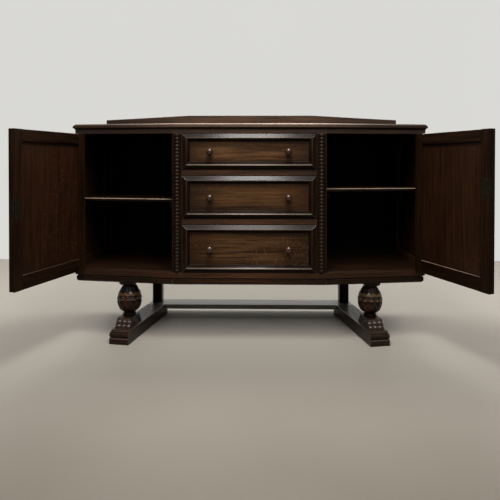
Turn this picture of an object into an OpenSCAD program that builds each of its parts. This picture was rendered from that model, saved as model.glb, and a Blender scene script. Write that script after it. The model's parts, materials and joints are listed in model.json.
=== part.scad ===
// Oak sideboard: three drawers between two canted cupboards, on a sledge base with bulbous front legs.
// Millimetres. X runs to the right, Y to the back and Z up from the floor. The doors stand open.

/* [Carcase] */
// Width over the two ends
carcase_w = 1354; // [1250:2:1500]
// Depth from the middle of the front to the back
carcase_d = 440; // [410:1:500]
// Height of the underside above the floor
carcase_z = 222; // [200:1:250]
// Half the width of the flat middle of the front
bay_half_w = 290; // [280:1:320]
// Angle by which each side bay is canted back
cant = 8.5; // [5:0.5:12]
// Thickness of the posts, front rails and doors
frame_t = 22; // [20:0.5:26]
// Thickness of the end frames
end_t = 18; // [17:0.5:22]
// Thickness of the bottom and the partitions
board_t = 18; // [15:0.5:20]
// Thickness of the back panel
back_t = 6; // [4:0.5:9]
// Depth of the rebate for the back panel in the end frames
back_rebate = 8; // [5:0.5:11]
// Thickness of a panel held in a groove
panel_t = 6; // [4:0.5:8]
// How far a panel enters its groove
groove_depth = 6; // [4:0.5:8]
// Hairline left between two separate pieces
glue_gap = 0.1; // [0.05:0.05:0.3]

/* [Top and gallery] */
// Thickness of the top
top_t = 23; // [23:0.5:28]
// Overhang of the top past the front and the ends
top_overhang = 8; // [4:1:12]
// Radius of the rounded upper edge of the top
top_round = 15; // [8:0.5:15]
// Radius of the hollow below the lip of the top
top_hollow = 7.5; // [4:0.5:7.5]
// Height of the gallery in the middle
gallery_h = 67; // [50:1:90]
// Height of the gallery at its ends
gallery_end_h = 46; // [30:1:48]
// Distance of the gallery's ends from the ends of the top
gallery_end_inset = 22; // [15:1:100]
// How far the flat part of the gallery's edge stops short of the cant
gallery_flat_inset = 5; // [0:1:60]
// Thickness of the gallery
gallery_t = 18; // [14:1:24]
// Depth of the rebate in the top that the gallery stands in
gallery_rebate = 6; // [3:0.5:10]

/* [Front rails and posts] */
// Height of the frieze rail under the top
frieze_h = 15; // [12:1:24]
// Height of the base rail under the doors
base_rail_h = 20.5; // [18:0.5:28]
// How far the base rail stands proud
base_rail_proud = 2; // [1:0.5:4]
// Height of the base moulding
base_moulding_h = 27.5; // [24:0.5:34]
// How far the base moulding is set back
base_moulding_inset = 3; // [1:0.5:6]
// Height of the quirk at the head of the base moulding
base_quirk_h = 5; // [3:0.5:8]
// Depth of that quirk
base_quirk_depth = 4; // [2:0.5:6]
// Radius of the rounded lower edge of the base moulding
base_round = 12; // [6:0.5:14]
// Width of the centre posts
post_w = 37; // [34:1:44]
// Height of the rails between the drawers
drawer_rail_h = 22; // [18:1:28]
// Depth of the rails between the drawers
drawer_rail_d = 62; // [50:1:80]
// Width of the turned bead strip on each post
bead_w = 19; // [14:1:24]
// Distance from one bead to the next
bead_pitch = 13.4; // [11:0.1:18]
// Depth of the waist between two beads
bead_waist = 4.2; // [2:0.1:5]
// Width of the stiles and rails of the end frames
end_stile_w = 56; // [45:1:70]

/* [Drawers] */
// Height of the top drawer's opening
top_drawer_h = 137; // [120:1:160]
// Height of the middle drawer's opening
middle_drawer_h = 162; // [140:1:180]
// Height of the bottom drawer's opening
bottom_drawer_h = 182; // [160:1:200]
// Gap round a drawer front
drawer_gap = 1.5; // [1:0.1:2.5]
// Thickness of a drawer front
drawer_front_t = 18; // [16:0.5:22]
// Thickness of the drawer sides and back
drawer_side_t = 10; // [8:0.5:14]
// Room left behind the drawer sides
drawer_room = 31; // [27:1:110]
// How far the sides stay below the top of the opening
drawer_side_drop = 12; // [8:1:20]
// How far a drawer's back stands in from the ends of the sides
drawer_back_inset = 8; // [4:1:20]
// How far a drawer's back stays below the sides
drawer_back_drop = 6; // [2:1:15]
// Thickness of the drawer bottoms
drawer_bottom_t = 5; // [4:0.5:7]
// Height of the drawer bottom above the runner
drawer_bottom_z = 8; // [7:0.5:12]
// Depth of the groove for the drawer bottom
drawer_groove = 4; // [3:0.5:6]
// Width of a runner under the drawer side
runner_w = 44; // [38:1:60]
// Height of the guide beside the drawer side
guide_h = 12; // [8:1:20]
// Sideways clearance between the drawer side and its guide
guide_gap = 0.6; // [0.3:0.1:1.5]
// Length of a drawer stop
stop_l = 30; // [20:1:50]
// Height of a drawer stop
stop_h = 5; // [3:0.5:6]
// Depth of a drawer stop
stop_d = 20; // [12:1:30]
// Gap between a closed drawer's front and its stops
stop_gap = 0.3; // [0.1:0.1:1]
// Distance of a drawer stop from the middle
stop_x = 120; // [60:1:180]

/* [Applied moulding] */
// Width of the moulding
moulding_w = 29; // [24:0.5:34]
// Width of its outer slope up to the ridge
moulding_slope_w = 16; // [12:0.5:18]
// Height of the ridge
moulding_h = 13; // [9:0.5:16]
// Height of the outer edge
moulding_edge_h = 3; // [1:0.5:5]
// Width of the flat on the ridge
ridge_w = 1.5; // [0.5:0.5:3]

/* [Doors] */
// Angle by which the left door stands open
left_open = 98; // [0:0.5:170]
// Angle by which the right door stands open
right_open = 101; // [0:0.5:170]
// Gap beside the hinges
hinge_gap = 3; // [2.8:0.1:4]
// Gap at the free edge, the top and the bottom
door_gap = 1.6; // [1.4:0.1:3]
// Width of the door stiles
door_stile_w = 36; // [34:1:50]
// Height of the door's top rail
door_top_rail_h = 40; // [32:1:60]
// Height of the door's bottom rail
door_bottom_rail_h = 48; // [36:1:70]
// Recess of the panel on the inner face
panel_recess = 8; // [6:0.5:9]

/* [Knobs] */
// Radius of the ball of a knob
knob_r = 13.5; // [10:0.5:16]
// How far a knob stands out
knob_out = 31; // [27:1:38]
// Radius of the knob's foot
knob_foot_r = 9; // [7:0.5:11]
// Height of the knob's foot
knob_foot_h = 3; // [2:0.5:4]
// Radius of the knob's neck
knob_neck_r = 6.5; // [5:0.5:8]
// Radius of the spigot glued into the wood
spigot_r = 4.5; // [3.5:0.5:6]
// Length of the spigot
spigot_l = 14; // [10:1:15]
// Distance of a drawer knob from the middle
drawer_knob_x = 147; // [100:1:190]

/* [Hinges and lock] */
// Length of a hinge
hinge_h = 64; // [50:1:80]
// Radius of the hinge barrel
barrel_r = 3.2; // [2.8:0.1:3.3]
// Distance of the hinge pin in front of the door's face
pin_out = 3.6; // [3.5:0.1:5]
// Radius of the hinge pin
pin_r = 1.5; // [1:0.1:1.8]
// Clearance of the turning knuckle round the pin
pin_gap = 0.05; // [0.02:0.01:0.1]
// Clearance between two knuckles
knuckle_gap = 0.2; // [0.1:0.05:0.4]
// Thickness of a hinge leaf
leaf_t = 1.1; // [0.8:0.1:1.3]
// Width of a hinge leaf
leaf_w = 20; // [16:1:21]
// Distance of a hinge from the top or bottom of the door
hinge_inset = 105; // [80:1:140]
// Radius of a screw's shank
screw_r = 1.6; // [1.2:0.1:2]
// Length of a screw
screw_l = 14; // [10:1:15]
// Height of the left door's lock above the floor, at its middle
left_lock_z = 538; // [500:1:560]
// Height of the right door's lock above the floor, at its middle
right_lock_z = 605; // [580:1:640]
// Height of the lock plate
lock_h = 67; // [50:1:76]
// Width of the lock plate
lock_w = 32; // [28:1:34]
// Thickness of the lock plate
lock_plate_t = 1.2; // [0.8:0.1:2]
// Depth of the lock case
lock_case_d = 11; // [10:0.5:13]
// Radius of the escutcheon round a keyhole
escutcheon_r = 9; // [7:0.5:11]
// Radius of a keyhole's round part
keyhole_r = 2.5; // [2:0.1:3]
// Height of the bolt
bolt_h = 18; // [12:1:24]
// Thickness of the bolt
bolt_t = 5; // [4:0.5:6]
// Length of the bolt
bolt_l = 20; // [16:1:24]
// How far the bolt comes out
bolt_throw = 7; // [5:0.5:9]
// Clearance round the bolt
bolt_gap = 0.2; // [0.1:0.05:0.4]

/* [Shelves] */
// Height of the left shelf's upper face
left_shelf_z = 545; // [480:1:620]
// Height of the right shelf's upper face
right_shelf_z = 586; // [480:1:640]
// Thickness of a shelf
shelf_t = 12; // [9:0.5:18]
// Distance of a shelf from the front
shelf_inset = 42; // [35:1:90]
// Width of a shelf batten
batten_w = 15; // [10:1:20]
// Height of a shelf batten
batten_h = 20; // [12:1:28]
// Distance of a batten behind the shelf's front
batten_inset = 10; // [4:1:30]

/* [Base] */
// Width of a sledge rail
sled_w = 77; // [68:1:90]
// Height of a sledge rail
sled_h = 50; // [44:1:58]
// Angle by which the sledge rails splay outwards to the front
splay = 10.5; // [4:0.5:12]
// Distance of a sledge rail's middle line from the end, at the front
sled_inset = 189.5; // [170:0.5:210]
// How far the toe stands in front of the carcase's middle
toe_out = 14; // [6:1:20]
// Height of the toe's plinth
toe_plinth_h = 23; // [16:1:26]
// Height of the reed above the plinth
toe_reed_h = 20; // [14:1:22]
// Depth of each step in the toe
toe_step = 9; // [5:0.5:12]
// Distance of the turned leg behind the front
leg_y = 83; // [76:1:95]
// Width of the carved foot block at its foot
block_w = 62; // [58:1:66]
// Width of the block at its head
block_top_w = 55; // [54:1:58]
// Height of the carved foot block
block_h = 37; // [32:1:42]
// Distance of the block's foot from the toe's front
block_inset = 31; // [28:1:40]
// Depth of the slope on the block's front
block_slope = 17; // [12:1:24]
// Radius of the six carved lobes on the block's front
lobe_r = 6.5; // [5:0.5:7]
// How far a lobe stands proud
lobe_out = 2.5; // [1:0.5:4]
// Distance from one lobe to the next
lobe_pitch = 15.5; // [15:0.5:17]
// Radius of the turned leg at its widest
bulb_r = 50; // [42:1:54]
// Height of the widest place above the floor
bulb_z = 153; // [146:1:160]
// Radius of the collar at the foot of the leg
collar_r = 25.5; // [23:0.5:27]
// Height of that collar
collar_h = 11; // [8:0.5:13]
// Radius of the neck between collar and cup
neck_r = 20; // [17:0.5:22]
// Height of that neck
neck_h = 4; // [2:0.5:6]
// Radius of the cover's head under the cap
shoulder_r = 28; // [25:0.5:32]
// Radius of the hollow between the cover and the cap
throat_r = 24; // [20:0.5:25]
// Height of that hollow
throat_h = 4; // [3:0.5:7]
// Width of the square cap on the turned leg
cap_w = 60; // [54:1:66]
// Height of that cap
cap_h = 15; // [10:1:18]
// Size of the bevel round the cap's lower edge
cap_bevel = 6; // [2:0.5:8]
// Side of the square rear posts
rear_post_w = 42; // [36:1:48]
// Distance of a rear post's middle outside the rail's middle line
rear_post_offset = 11.5; // [6:0.5:15]
// Distance of a rear post from the back
rear_post_inset = 9; // [5:1:14]
// Width of the stretcher board
stretcher_w = 87; // [74:1:92]
// Thickness of the stretcher board
stretcher_t = 19; // [15:1:24]
// Width of the bearers that the legs are fixed to
bearer_w = 70; // [60:1:90]

/* [Hidden] */
$fn = 48;

oak = [0.17, 0.10, 0.065];
dark_oak = [0.10, 0.06, 0.045];
figured_oak = [0.25, 0.15, 0.085];
inner_oak = [0.30, 0.20, 0.12];
brass = [0.45, 0.36, 0.18];
steel = [0.35, 0.34, 0.32];

// Far enough to cut right through any piece
reach = 60;
// Flats in a quarter of a moulded round
arc_steps = 10;

// Heights, from the floor up
rail_z = carcase_z + base_moulding_h;
open_z = rail_z + base_rail_h;
middle_z = open_z + bottom_drawer_h + drawer_rail_h;
upper_z = middle_z + middle_drawer_h + drawer_rail_h;
open_top_z = upper_z + top_drawer_h;
top_z = open_top_z + frieze_h;
surface_z = top_z + top_t;
bottom_z = open_z - board_t;

// Places across and along
end_outer_x = carcase_w / 2;
end_inner_x = end_outer_x - end_t;
back_y = carcase_d - back_t;
bay_open_x = bay_half_w - post_w;
partition_outer_x = bay_half_w + 4;
partition_inner_x = partition_outer_x - board_t;

// Height above the plan of the front line, set out by a distance, at a place across
function front_y(x, out = 0) = max(-out, (abs(x) - bay_half_w) * tan(cant) - out / cos(cant));

// Place across of the corner between the middle and the cant, for a line set out
function corner_x(out = 0) = bay_half_w + out * tan(cant / 2);

// The four points of the front line set out by a distance
function front_line(half_w, out = 0) = [
    [-half_w, front_y(half_w, out)],
    [-corner_x(out), -out],
    [corner_x(out), -out],
    [half_w, front_y(half_w, out)]
];

// Points of an arc round a centre
function arc(centre, r, from, to, steps) = [
    for (i = [0:steps])
        let (a = from + (to - from) * i / steps)
            centre + r * [cos(a), sin(a)]
];

// Plan of a board that follows the front and ends square at the back
module plan_board(half_w, out, end_y) {
    polygon(concat(front_line(half_w, out), [[half_w, end_y], [-half_w, end_y]]));
}

// Plan of three mitred lengths that follow the front
module front_strip(half_w, out, t) {
    g = glue_gap / 2;
    polygon([
        [-corner_x(out) + g, -out], [corner_x(out) - g, -out],
        [corner_x(out - t) - g, t - out], [-corner_x(out - t) + g, t - out]
    ]);
    for (s = [0, 1])
        mirror([s, 0])
            polygon([
                [corner_x(out) + g, front_y(corner_x(out) + g, out)],
                [half_w, front_y(half_w, out)],
                [half_w, front_y(half_w, out - t)],
                [corner_x(out - t) + g, front_y(corner_x(out - t) + g, out - t)]
            ]);
}

// Extrudes a section along the line from p to q, with its first axis to the left and its second up
module along(p, q, past = 0) {
    v = q - p;
    translate([p[0], p[1], 0])
        rotate([0, 0, atan2(v[1], v[0])])
            translate([-past, 0, 0])
                rotate([90, 0, 90])
                    linear_extrude(norm(v) + 2 * past) children();
}

// What an ovolo cutter takes from an upper edge
module ovolo_cut(r) {
    polygon(concat([[-reach, 0]], arc([r, 0], r, 180, 90, arc_steps), [[r, reach], [-reach, reach]]));
}

// What a cutter takes from a lower edge to leave a bevel
module bevel_cut(w) {
    polygon([[-reach, -1], [-reach, w], [0, w], [w, 0], [w, -1]]);
}

// What a cove cutter takes from a lower edge
module cove_cut(r) {
    polygon(concat([[-reach, -1], [-reach, r]], arc([0, 0], r, 90, 0, arc_steps), [[r, -1]]));
}

// The piece stands at its place with the origin under the middle of the whole object's box
module place() {
    translate([-centre_x, -centre_y, 0]) children();
}

// The left-hand piece, or its mirror image on the right
module side(s) {
    mirror([s > 0 ? 1 : 0, 0, 0]) children();
}

/* Doors: an own frame with its origin on the hinge pin, x to the free edge and y inwards */
door_l = (end_inner_x - bay_half_w) / cos(cant);
door_x0 = hinge_gap / 2;
door_x1 = door_l - door_gap - hinge_gap / 2;
door_y0 = pin_out;
door_y1 = pin_out + frame_t;
door_z0 = open_z + door_gap;
door_z1 = open_top_z - door_gap;
panel_y1 = door_y1 - panel_recess;
panel_y0 = panel_y1 - panel_t;
field_x0 = door_x0 + door_stile_w;
field_x1 = door_x1 - door_stile_w;
field_z0 = door_z0 + door_bottom_rail_h;
field_z1 = door_z1 - door_top_rail_h;
pin_x = -end_inner_x + hinge_gap / 2 * cos(cant) - pin_out * sin(cant);
pin_y = front_y(end_inner_x) - hinge_gap / 2 * sin(cant) - pin_out * cos(cant);

// Plan position of a point of the left door, opened by an angle
function door_point(open, x, y) = [
    pin_x + x * cos(cant + open) + y * sin(cant + open),
    pin_y - x * sin(cant + open) + y * cos(cant + open)
];

// The middle of the whole object's box, which the open doors set
left_reach = -door_point(left_open, door_x1, door_y0)[0];
right_reach = -door_point(right_open, door_x1, door_y0)[0];
front_reach = -min(
    door_point(left_open, door_x1, door_y1)[1],
    door_point(right_open, door_x1, door_y1)[1]
);
centre_x = (right_reach - left_reach) / 2;
centre_y = (carcase_d - front_reach) / 2;

module at_door(open) {
    translate([pin_x, pin_y, 0]) rotate([0, 0, -cant - open]) children();
}

/* Top, gallery and case */
gallery_half_w = end_outer_x + top_overhang - gallery_end_inset;

module top_board() {
    half_w = end_outer_x + top_overhang;
    line = front_line(half_w, top_overhang);
    edge = [[-half_w, carcase_d], line[0], line[1], line[2], line[3], [half_w, carcase_d]];
    color(oak) difference() {
        translate([0, 0, top_z]) linear_extrude(top_t) plan_board(half_w, top_overhang, carcase_d);
        for (i = [0:4]) {
            along(edge[i], edge[i + 1], reach) translate([0, surface_z - top_round]) ovolo_cut(top_round);
            along(edge[i], edge[i + 1], reach) translate([0, top_z]) cove_cut(top_hollow);
        }
        translate([-gallery_half_w - glue_gap, carcase_d - gallery_t - glue_gap, surface_z - gallery_rebate])
            cube([2 * (gallery_half_w + glue_gap), gallery_t + reach, gallery_rebate + 1]);
    }
}

module back_gallery() {
    gallery_flat_half_w = bay_half_w - gallery_flat_inset;
    color(oak) translate([0, carcase_d, surface_z]) rotate([90, 0, 0]) linear_extrude(gallery_t)
        polygon([
            [-gallery_half_w, -gallery_rebate], [gallery_half_w, -gallery_rebate],
            [gallery_half_w, gallery_end_h],
            [gallery_flat_half_w, gallery_h], [-gallery_flat_half_w, gallery_h],
            [-gallery_half_w, gallery_end_h]
        ]);
}

module back_panel_blank(gap) {
    half_w = end_inner_x + back_rebate - glue_gap + gap;
    translate([-half_w, back_y - gap, bottom_z - gap])
        cube([2 * half_w, back_t + 2 * gap, top_z - bottom_z + 2 * gap]);
}

module back_panel() {
    color(inner_oak) back_panel_blank(0);
}

// The frieze and base rails, which the pieces behind them are cut to fit
module front_rails(gap) {
    translate([0, 0, open_top_z - gap]) linear_extrude(frieze_h + 2 * gap)
        plan_strip_solid(end_outer_x + gap, gap, frame_t + 2 * gap);
    translate([0, 0, rail_z - gap]) linear_extrude(base_rail_h + 2 * gap)
        plan_strip_solid(end_outer_x + gap, base_rail_proud + gap, frame_t + base_rail_proud + 2 * gap);
}

module plan_strip_solid(half_w, out, t) {
    back_line = front_line(half_w, out - t);
    polygon(concat(front_line(half_w, out), [for (i = [3:-1:0]) back_line[i]]));
}

end_panel_x = end_outer_x - end_t / 2;
end_front_y = front_y(end_inner_x) + end_stile_w;
end_back_y = carcase_d - end_stile_w;
end_low_z = rail_z + end_stile_w;
end_high_z = top_z - end_stile_w;

module end_panel_blank(gap) {
    enter = groove_depth + gap;
    translate([-end_panel_x - panel_t / 2 - gap, end_front_y - enter, end_low_z - enter])
        cube([
            panel_t + 2 * gap,
            end_back_y - end_front_y + 2 * enter,
            end_high_z - end_low_z + 2 * enter
        ]);
}

module end_frame() {
    color(oak) difference() {
        union() {
            translate([0, 0, rail_z]) linear_extrude(top_z - rail_z) {
                polygon([
                    [-end_outer_x, front_y(end_outer_x)], [-end_inner_x, front_y(end_inner_x)],
                    [-end_inner_x, end_front_y], [-end_outer_x, end_front_y]
                ]);
                translate([-end_outer_x, end_back_y]) square([end_t, end_stile_w]);
            }
            for (z = [rail_z, end_high_z])
                translate([-end_outer_x, end_front_y + glue_gap, z])
                    cube([end_t, end_back_y - end_front_y - 2 * glue_gap, end_stile_w]);
        }
        front_rails(glue_gap);
        end_panel_blank(glue_gap);
        back_panel_blank(glue_gap);
        case_screw_holes();
    }
}

module end_panel() {
    color(figured_oak) end_panel_blank(0);
}

module partition() {
    start_y = front_y(partition_outer_x, -frame_t) + glue_gap;
    color(inner_oak) translate([-partition_outer_x, start_y, open_z])
        cube([board_t, back_y - start_y - glue_gap, top_z - open_z]);
}

module bottom_board() {
    half_w = end_inner_x - glue_gap;
    color(inner_oak) translate([0, 0, bottom_z]) linear_extrude(board_t)
        plan_board(half_w, -frame_t - glue_gap, back_y - glue_gap);
}

// Distance of the rail's middle line from the centre at the front, and the rear post's place
sled_x = end_outer_x - sled_inset;
rear_post_y = carcase_d - rear_post_inset - rear_post_w;
rear_post_x = sled_x - (rear_post_y + rear_post_w / 2) * tan(splay) + rear_post_offset;

// The plan frame of the left sledge rail: its middle line runs along y from the front
module at_sled() {
    translate([-sled_x, 0, 0]) rotate([0, 0, -splay]) children();
}

skirt_t = frame_t;
skirt_out = -base_moulding_inset;

module leg_bearers() {
    start_y = front_y(sled_x, skirt_out - skirt_t) + 4;
    color(inner_oak) for (s = [-1, 1]) side(s)
        intersection() {
            at_sled() translate([-bearer_w / 2, -reach, carcase_z])
                cube([bearer_w, carcase_d + 3 * reach, bottom_z - carcase_z]);
            translate([-end_outer_x, start_y, 0])
                cube([end_outer_x, back_y - start_y, surface_z]);
        }
}

module frieze_rail() {
    color(oak) translate([0, 0, open_top_z]) linear_extrude(frieze_h) front_strip(end_outer_x, 0, frame_t);
}

module base_rail() {
    color(oak) translate([0, 0, rail_z]) linear_extrude(base_rail_h)
        front_strip(end_outer_x, base_rail_proud, frame_t + base_rail_proud);
}

// The skirt: three mitred lengths in front and a return at each end
skirt_x = end_outer_x - base_moulding_inset;

module skirt_plan(inset) {
    mitre_y = front_y(skirt_x, skirt_out - skirt_t) + glue_gap;
    intersection() {
        front_strip(skirt_x, skirt_out, skirt_t);
        plan_board(skirt_x - inset, skirt_out - inset, carcase_d);
    }
    for (s = [0, 1])
        mirror([s, 0]) translate([-skirt_x + inset, mitre_y]) square([skirt_t - inset, back_y - mitre_y]);
}

module base_moulding() {
    line = front_line(skirt_x, skirt_out);
    edge = [[-skirt_x, carcase_d], line[0], line[1], line[2], line[3], [skirt_x, carcase_d]];
    low_h = base_moulding_h - base_quirk_h;
    color(dark_oak) difference() {
        union() {
            translate([0, 0, carcase_z]) linear_extrude(low_h) skirt_plan(0);
            translate([0, 0, carcase_z + low_h]) linear_extrude(base_quirk_h) skirt_plan(base_quirk_depth);
        }
        for (i = [0:4])
            along(edge[i], edge[i + 1], reach)
                translate([0, carcase_z + base_round]) mirror([0, 1]) ovolo_cut(base_round);
    }
}

/* Posts, beads and drawer rails */
module centre_post() {
    color(oak) difference() {
        translate([0, 0, open_z]) linear_extrude(open_top_z - open_z)
            polygon([
                [-bay_open_x, 0], [-bay_half_w, 0],
                [-bay_half_w + frame_t * tan(cant), frame_t], [-bay_open_x, frame_t]
            ]);
        children();
    }
}

bead_x = bay_half_w - post_w / 2;
bead_count = floor((open_top_z - open_z - 2) / bead_pitch);
bead_start = (open_top_z - open_z - bead_count * bead_pitch) / 2;

// Half outline of the bead strip: one arc for each bead, with a waist between beads
function bead_outline() = concat(
    [[0, bead_start]],
    [for (i = [0:bead_count - 1]) for (j = [0:6])
        [
            bead_w / 2 - bead_waist * pow(abs(j - 3) / 3, 2),
            bead_start + (i + j / 6) * bead_pitch - (j == 6 ? 0.01 : 0)
        ]],
    [[0, bead_start + bead_count * bead_pitch]]
);

module bead_strip() {
    color(oak) translate([-bead_x, 0, open_z]) intersection() {
        rotate_extrude() polygon(bead_outline());
        translate([-bead_w, -bead_w, 0]) cube([2 * bead_w, bead_w - glue_gap, open_top_z - open_z]);
    }
}

module drawer_rail(z) {
    translate([0, 0, z - drawer_rail_h]) linear_extrude(drawer_rail_h)
        polygon([
            [-bay_open_x + glue_gap, 0], [bay_open_x - glue_gap, 0],
            [bay_open_x - glue_gap, frame_t + 1], [partition_inner_x, frame_t + 1],
            [partition_inner_x, drawer_rail_d], [-partition_inner_x, drawer_rail_d],
            [-partition_inner_x, frame_t + 1], [-bay_open_x + glue_gap, frame_t + 1]
        ]);
}

module drawer_rails() {
    color(oak) for (z = [middle_z, upper_z]) drawer_rail(z);
}

// Outer face of the drawer sides, and their length
drawer_half_w = bay_open_x - drawer_gap;
drawer_side_l = back_y - drawer_room - drawer_front_t;

module drawer_runner(z) {
    guide_w = partition_inner_x - drawer_half_w - guide_gap;
    translate([-partition_inner_x, drawer_rail_d + glue_gap, z]) {
        cube([guide_w, back_y - drawer_rail_d - 2 * glue_gap, guide_h]);
        if (z > open_z)
            translate([0, 0, -drawer_rail_h])
                cube([runner_w, back_y - drawer_rail_d - 2 * glue_gap, drawer_rail_h]);
    }
}

module drawer_runners() {
    color(inner_oak) for (s = [-1, 1]) side(s)
        for (z = [open_z, middle_z, upper_z]) drawer_runner(z);
}

module drawer_stops() {
    color(inner_oak) for (x = [-stop_x, stop_x]) for (z = [open_z, middle_z, upper_z])
        translate([x - stop_l / 2, drawer_front_t + stop_gap, z])
            cube([stop_l, stop_d, stop_h]);
}

/* Shelves */
module shelf(z) {
    x0 = end_inner_x - 0.3;
    x1 = partition_outer_x + 0.3;
    color(oak) translate([0, 0, z - shelf_t]) linear_extrude(shelf_t)
        polygon([
            [-x0, front_y(x0, -shelf_inset)], [-x1, front_y(x1, -shelf_inset)],
            [-x1, back_y - 0.3], [-x0, back_y - 0.3]
        ]);
}

module battens(z) {
    for (x = [end_inner_x, partition_outer_x + batten_w])
        translate([-x, front_y(x, -shelf_inset) + batten_inset, z - shelf_t - batten_h])
            cube([batten_w, back_y - front_y(x, -shelf_inset) - batten_inset - 2, batten_h]);
}

module shelf_battens() {
    color(inner_oak) {
        side(-1) battens(left_shelf_z);
        side(1) battens(right_shelf_z);
    }
}

/* Base */
module sled_rail() {
    reed_y = toe_step - toe_out;
    step_y = 2 * toe_step - toe_out;
    reed_r = toe_reed_h / 2;
    reed_turn = 70;
    reed_mid = [reed_y + 2, toe_plinth_h + reed_r + 1];
    end_y = carcase_d + reach;
    color(dark_oak) difference() {
        at_sled() translate([-sled_w / 2, 0, 0]) rotate([90, 0, 90]) linear_extrude(sled_w)
            polygon(concat(
                [[-toe_out, 0], [-toe_out, toe_plinth_h - 2], [2 - toe_out, toe_plinth_h]],
                [[reed_y, toe_plinth_h]],
                arc(reed_mid, reed_r, 180 + reed_turn, 180 - reed_turn, arc_steps),
                [[step_y, toe_plinth_h + toe_reed_h + 1], [step_y, sled_h], [end_y, sled_h], [end_y, 0]]
            ));
        translate([-carcase_w, rear_post_y - glue_gap, -1]) cube([carcase_w, carcase_d, 2 * sled_h]);
        translate([-carcase_w, carcase_d - stretcher_w - glue_gap, sled_h - stretcher_t])
            cube([carcase_w, stretcher_w + reach, 2 * stretcher_t]);
    }
}

// The block between the sledge rail and the turned leg, with two rows of lobes on its sloping front
block_y0 = block_inset - toe_out;
block_y1 = block_y0 + block_slope;
block_y2 = leg_y / cos(splay) + cap_w / 2;
block_back_slope = 16;
block_top = sled_h + block_h;

// Room below the lower row of lobes, which lean over the rail, and above each row
lobe_foot_gap = 3;
lobe_row_gap = 1;

module lobe(h) {
    straight = h / 2 - lobe_r;
    translate([0, 0, -straight]) cylinder(r = lobe_r, h = 2 * straight);
    for (z = [-straight, straight]) translate([0, 0, z]) sphere(lobe_r);
}

module foot_block() {
    slope = atan2(block_h, block_slope);
    slope_l = norm([block_h, block_slope]);
    row_h = (slope_l - lobe_foot_gap - 2 * lobe_row_gap) / 2;
    color(dark_oak) at_sled() union() {
        intersection() {
            translate([-block_w / 2, 0, 0]) rotate([90, 0, 90]) linear_extrude(block_w)
                polygon([
                    [block_y0, sled_h], [block_y1, block_top],
                    [block_y2, block_top], [block_y2 + block_back_slope, sled_h]
                ]);
            translate([0, block_y2 + reach, 0]) rotate([90, 0, 0]) linear_extrude(block_y2 + 2 * reach)
                polygon([
                    [-block_w / 2, sled_h], [block_w / 2, sled_h],
                    [block_top_w / 2, block_top], [-block_top_w / 2, block_top]
                ]);
        }
        translate([0, block_y0, sled_h]) rotate([slope - 90, 0, 0])
            for (i = [-1, 0, 1]) for (z = [lobe_foot_gap, slope_l - lobe_row_gap - row_h])
                translate([i * lobe_pitch, lobe_r - lobe_out, z + row_h / 2]) lobe(row_h);
    }
}

// Half outline of the turned leg: collar, neck, round cup, ridge, tapering cover and throat
leg_z0 = block_top;
leg_z1 = carcase_z - cap_h;
cup_z0 = leg_z0 + collar_h + neck_h;
cover_z1 = leg_z1 - throat_h;
ridge_h = 3;
ridge_step = 1.5;
turn_steps = 8;

function cup_points() = [
    for (i = [0:turn_steps])
        let (a = 90 * i / turn_steps, r = bulb_r - ridge_step)
            [neck_r + (r - neck_r) * sin(a), cup_z0 + (bulb_z - ridge_h - cup_z0) * (1 - cos(a))]
];

function cover_points() = [
    for (i = [0:turn_steps])
        let (t = i / turn_steps, r = bulb_r - ridge_step)
            [r - (r - shoulder_r) * pow(t, 1.25), bulb_z + ridge_h + (cover_z1 - bulb_z - ridge_h) * t]
];

module cap() {
    difference() {
        translate([-cap_w / 2, -cap_w / 2, leg_z1]) cube([cap_w, cap_w, cap_h]);
        for (a = [0:90:270])
            rotate([0, 0, a]) along([-reach, -cap_w / 2], [reach, -cap_w / 2])
                translate([0, leg_z1]) bevel_cut(cap_bevel);
    }
}

module turned_leg() {
    color(dark_oak) at_sled() translate([0, leg_y / cos(splay), 0]) {
        rotate_extrude() polygon(concat(
            [[0, leg_z0], [collar_r, leg_z0], [collar_r, leg_z0 + collar_h], [neck_r, leg_z0 + collar_h]],
            cup_points(),
            [[bulb_r, bulb_z]],
            cover_points(),
            [[throat_r, cover_z1], [throat_r, leg_z1 + 1], [0, leg_z1 + 1]]
        ));
        cap();
    }
}

module rear_post() {
    color(dark_oak) translate([-rear_post_x - rear_post_w / 2, rear_post_y, 0])
        cube([rear_post_w, rear_post_w, carcase_z]);
}

// Half width of the base's outer line at a distance behind the front
function sled_outer_x(y) = sled_x + sled_w / 2 / cos(splay) - y * tan(splay);

module stretcher() {
    y0 = carcase_d - stretcher_w;
    color(dark_oak) difference() {
        translate([0, 0, sled_h - stretcher_t]) linear_extrude(stretcher_t)
            polygon([
                [-sled_outer_x(y0), y0], [sled_outer_x(y0), y0],
                [sled_outer_x(carcase_d), carcase_d], [-sled_outer_x(carcase_d), carcase_d]
            ]);
        for (s = [-1, 1]) side(s)
            translate([-rear_post_x - rear_post_w / 2 - glue_gap, rear_post_y - glue_gap, 0])
                cube([rear_post_w + 2 * glue_gap, rear_post_w + 2 * glue_gap, 2 * sled_h]);
    }
}

/* Hinges */
knuckle_h = (hinge_h - 2 * knuckle_gap) / 3;
hinge_low_z = door_z0 + hinge_inset;
hinge_high_z = door_z1 - hinge_inset;
leaf_start = barrel_r + 0.3;
screw_z = hinge_h / 2 - 12;
screw_head_r = screw_r + leaf_t;
leaf_screw_y = leaf_start + (leaf_w + pin_out - leaf_start) / 2;

module screw() {
    cylinder(r = screw_r, h = screw_l);
    cylinder(r1 = screw_head_r, r2 = screw_r, h = leaf_t);
}

module screw_hole() {
    translate([0, 0, -0.1]) cylinder(r = screw_r + glue_gap, h = screw_l + 0.6);
    translate([0, 0, -0.1]) cylinder(r1 = screw_head_r + 0.2, r2 = screw_r + 0.1, h = leaf_t + 0.1);
}

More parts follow.
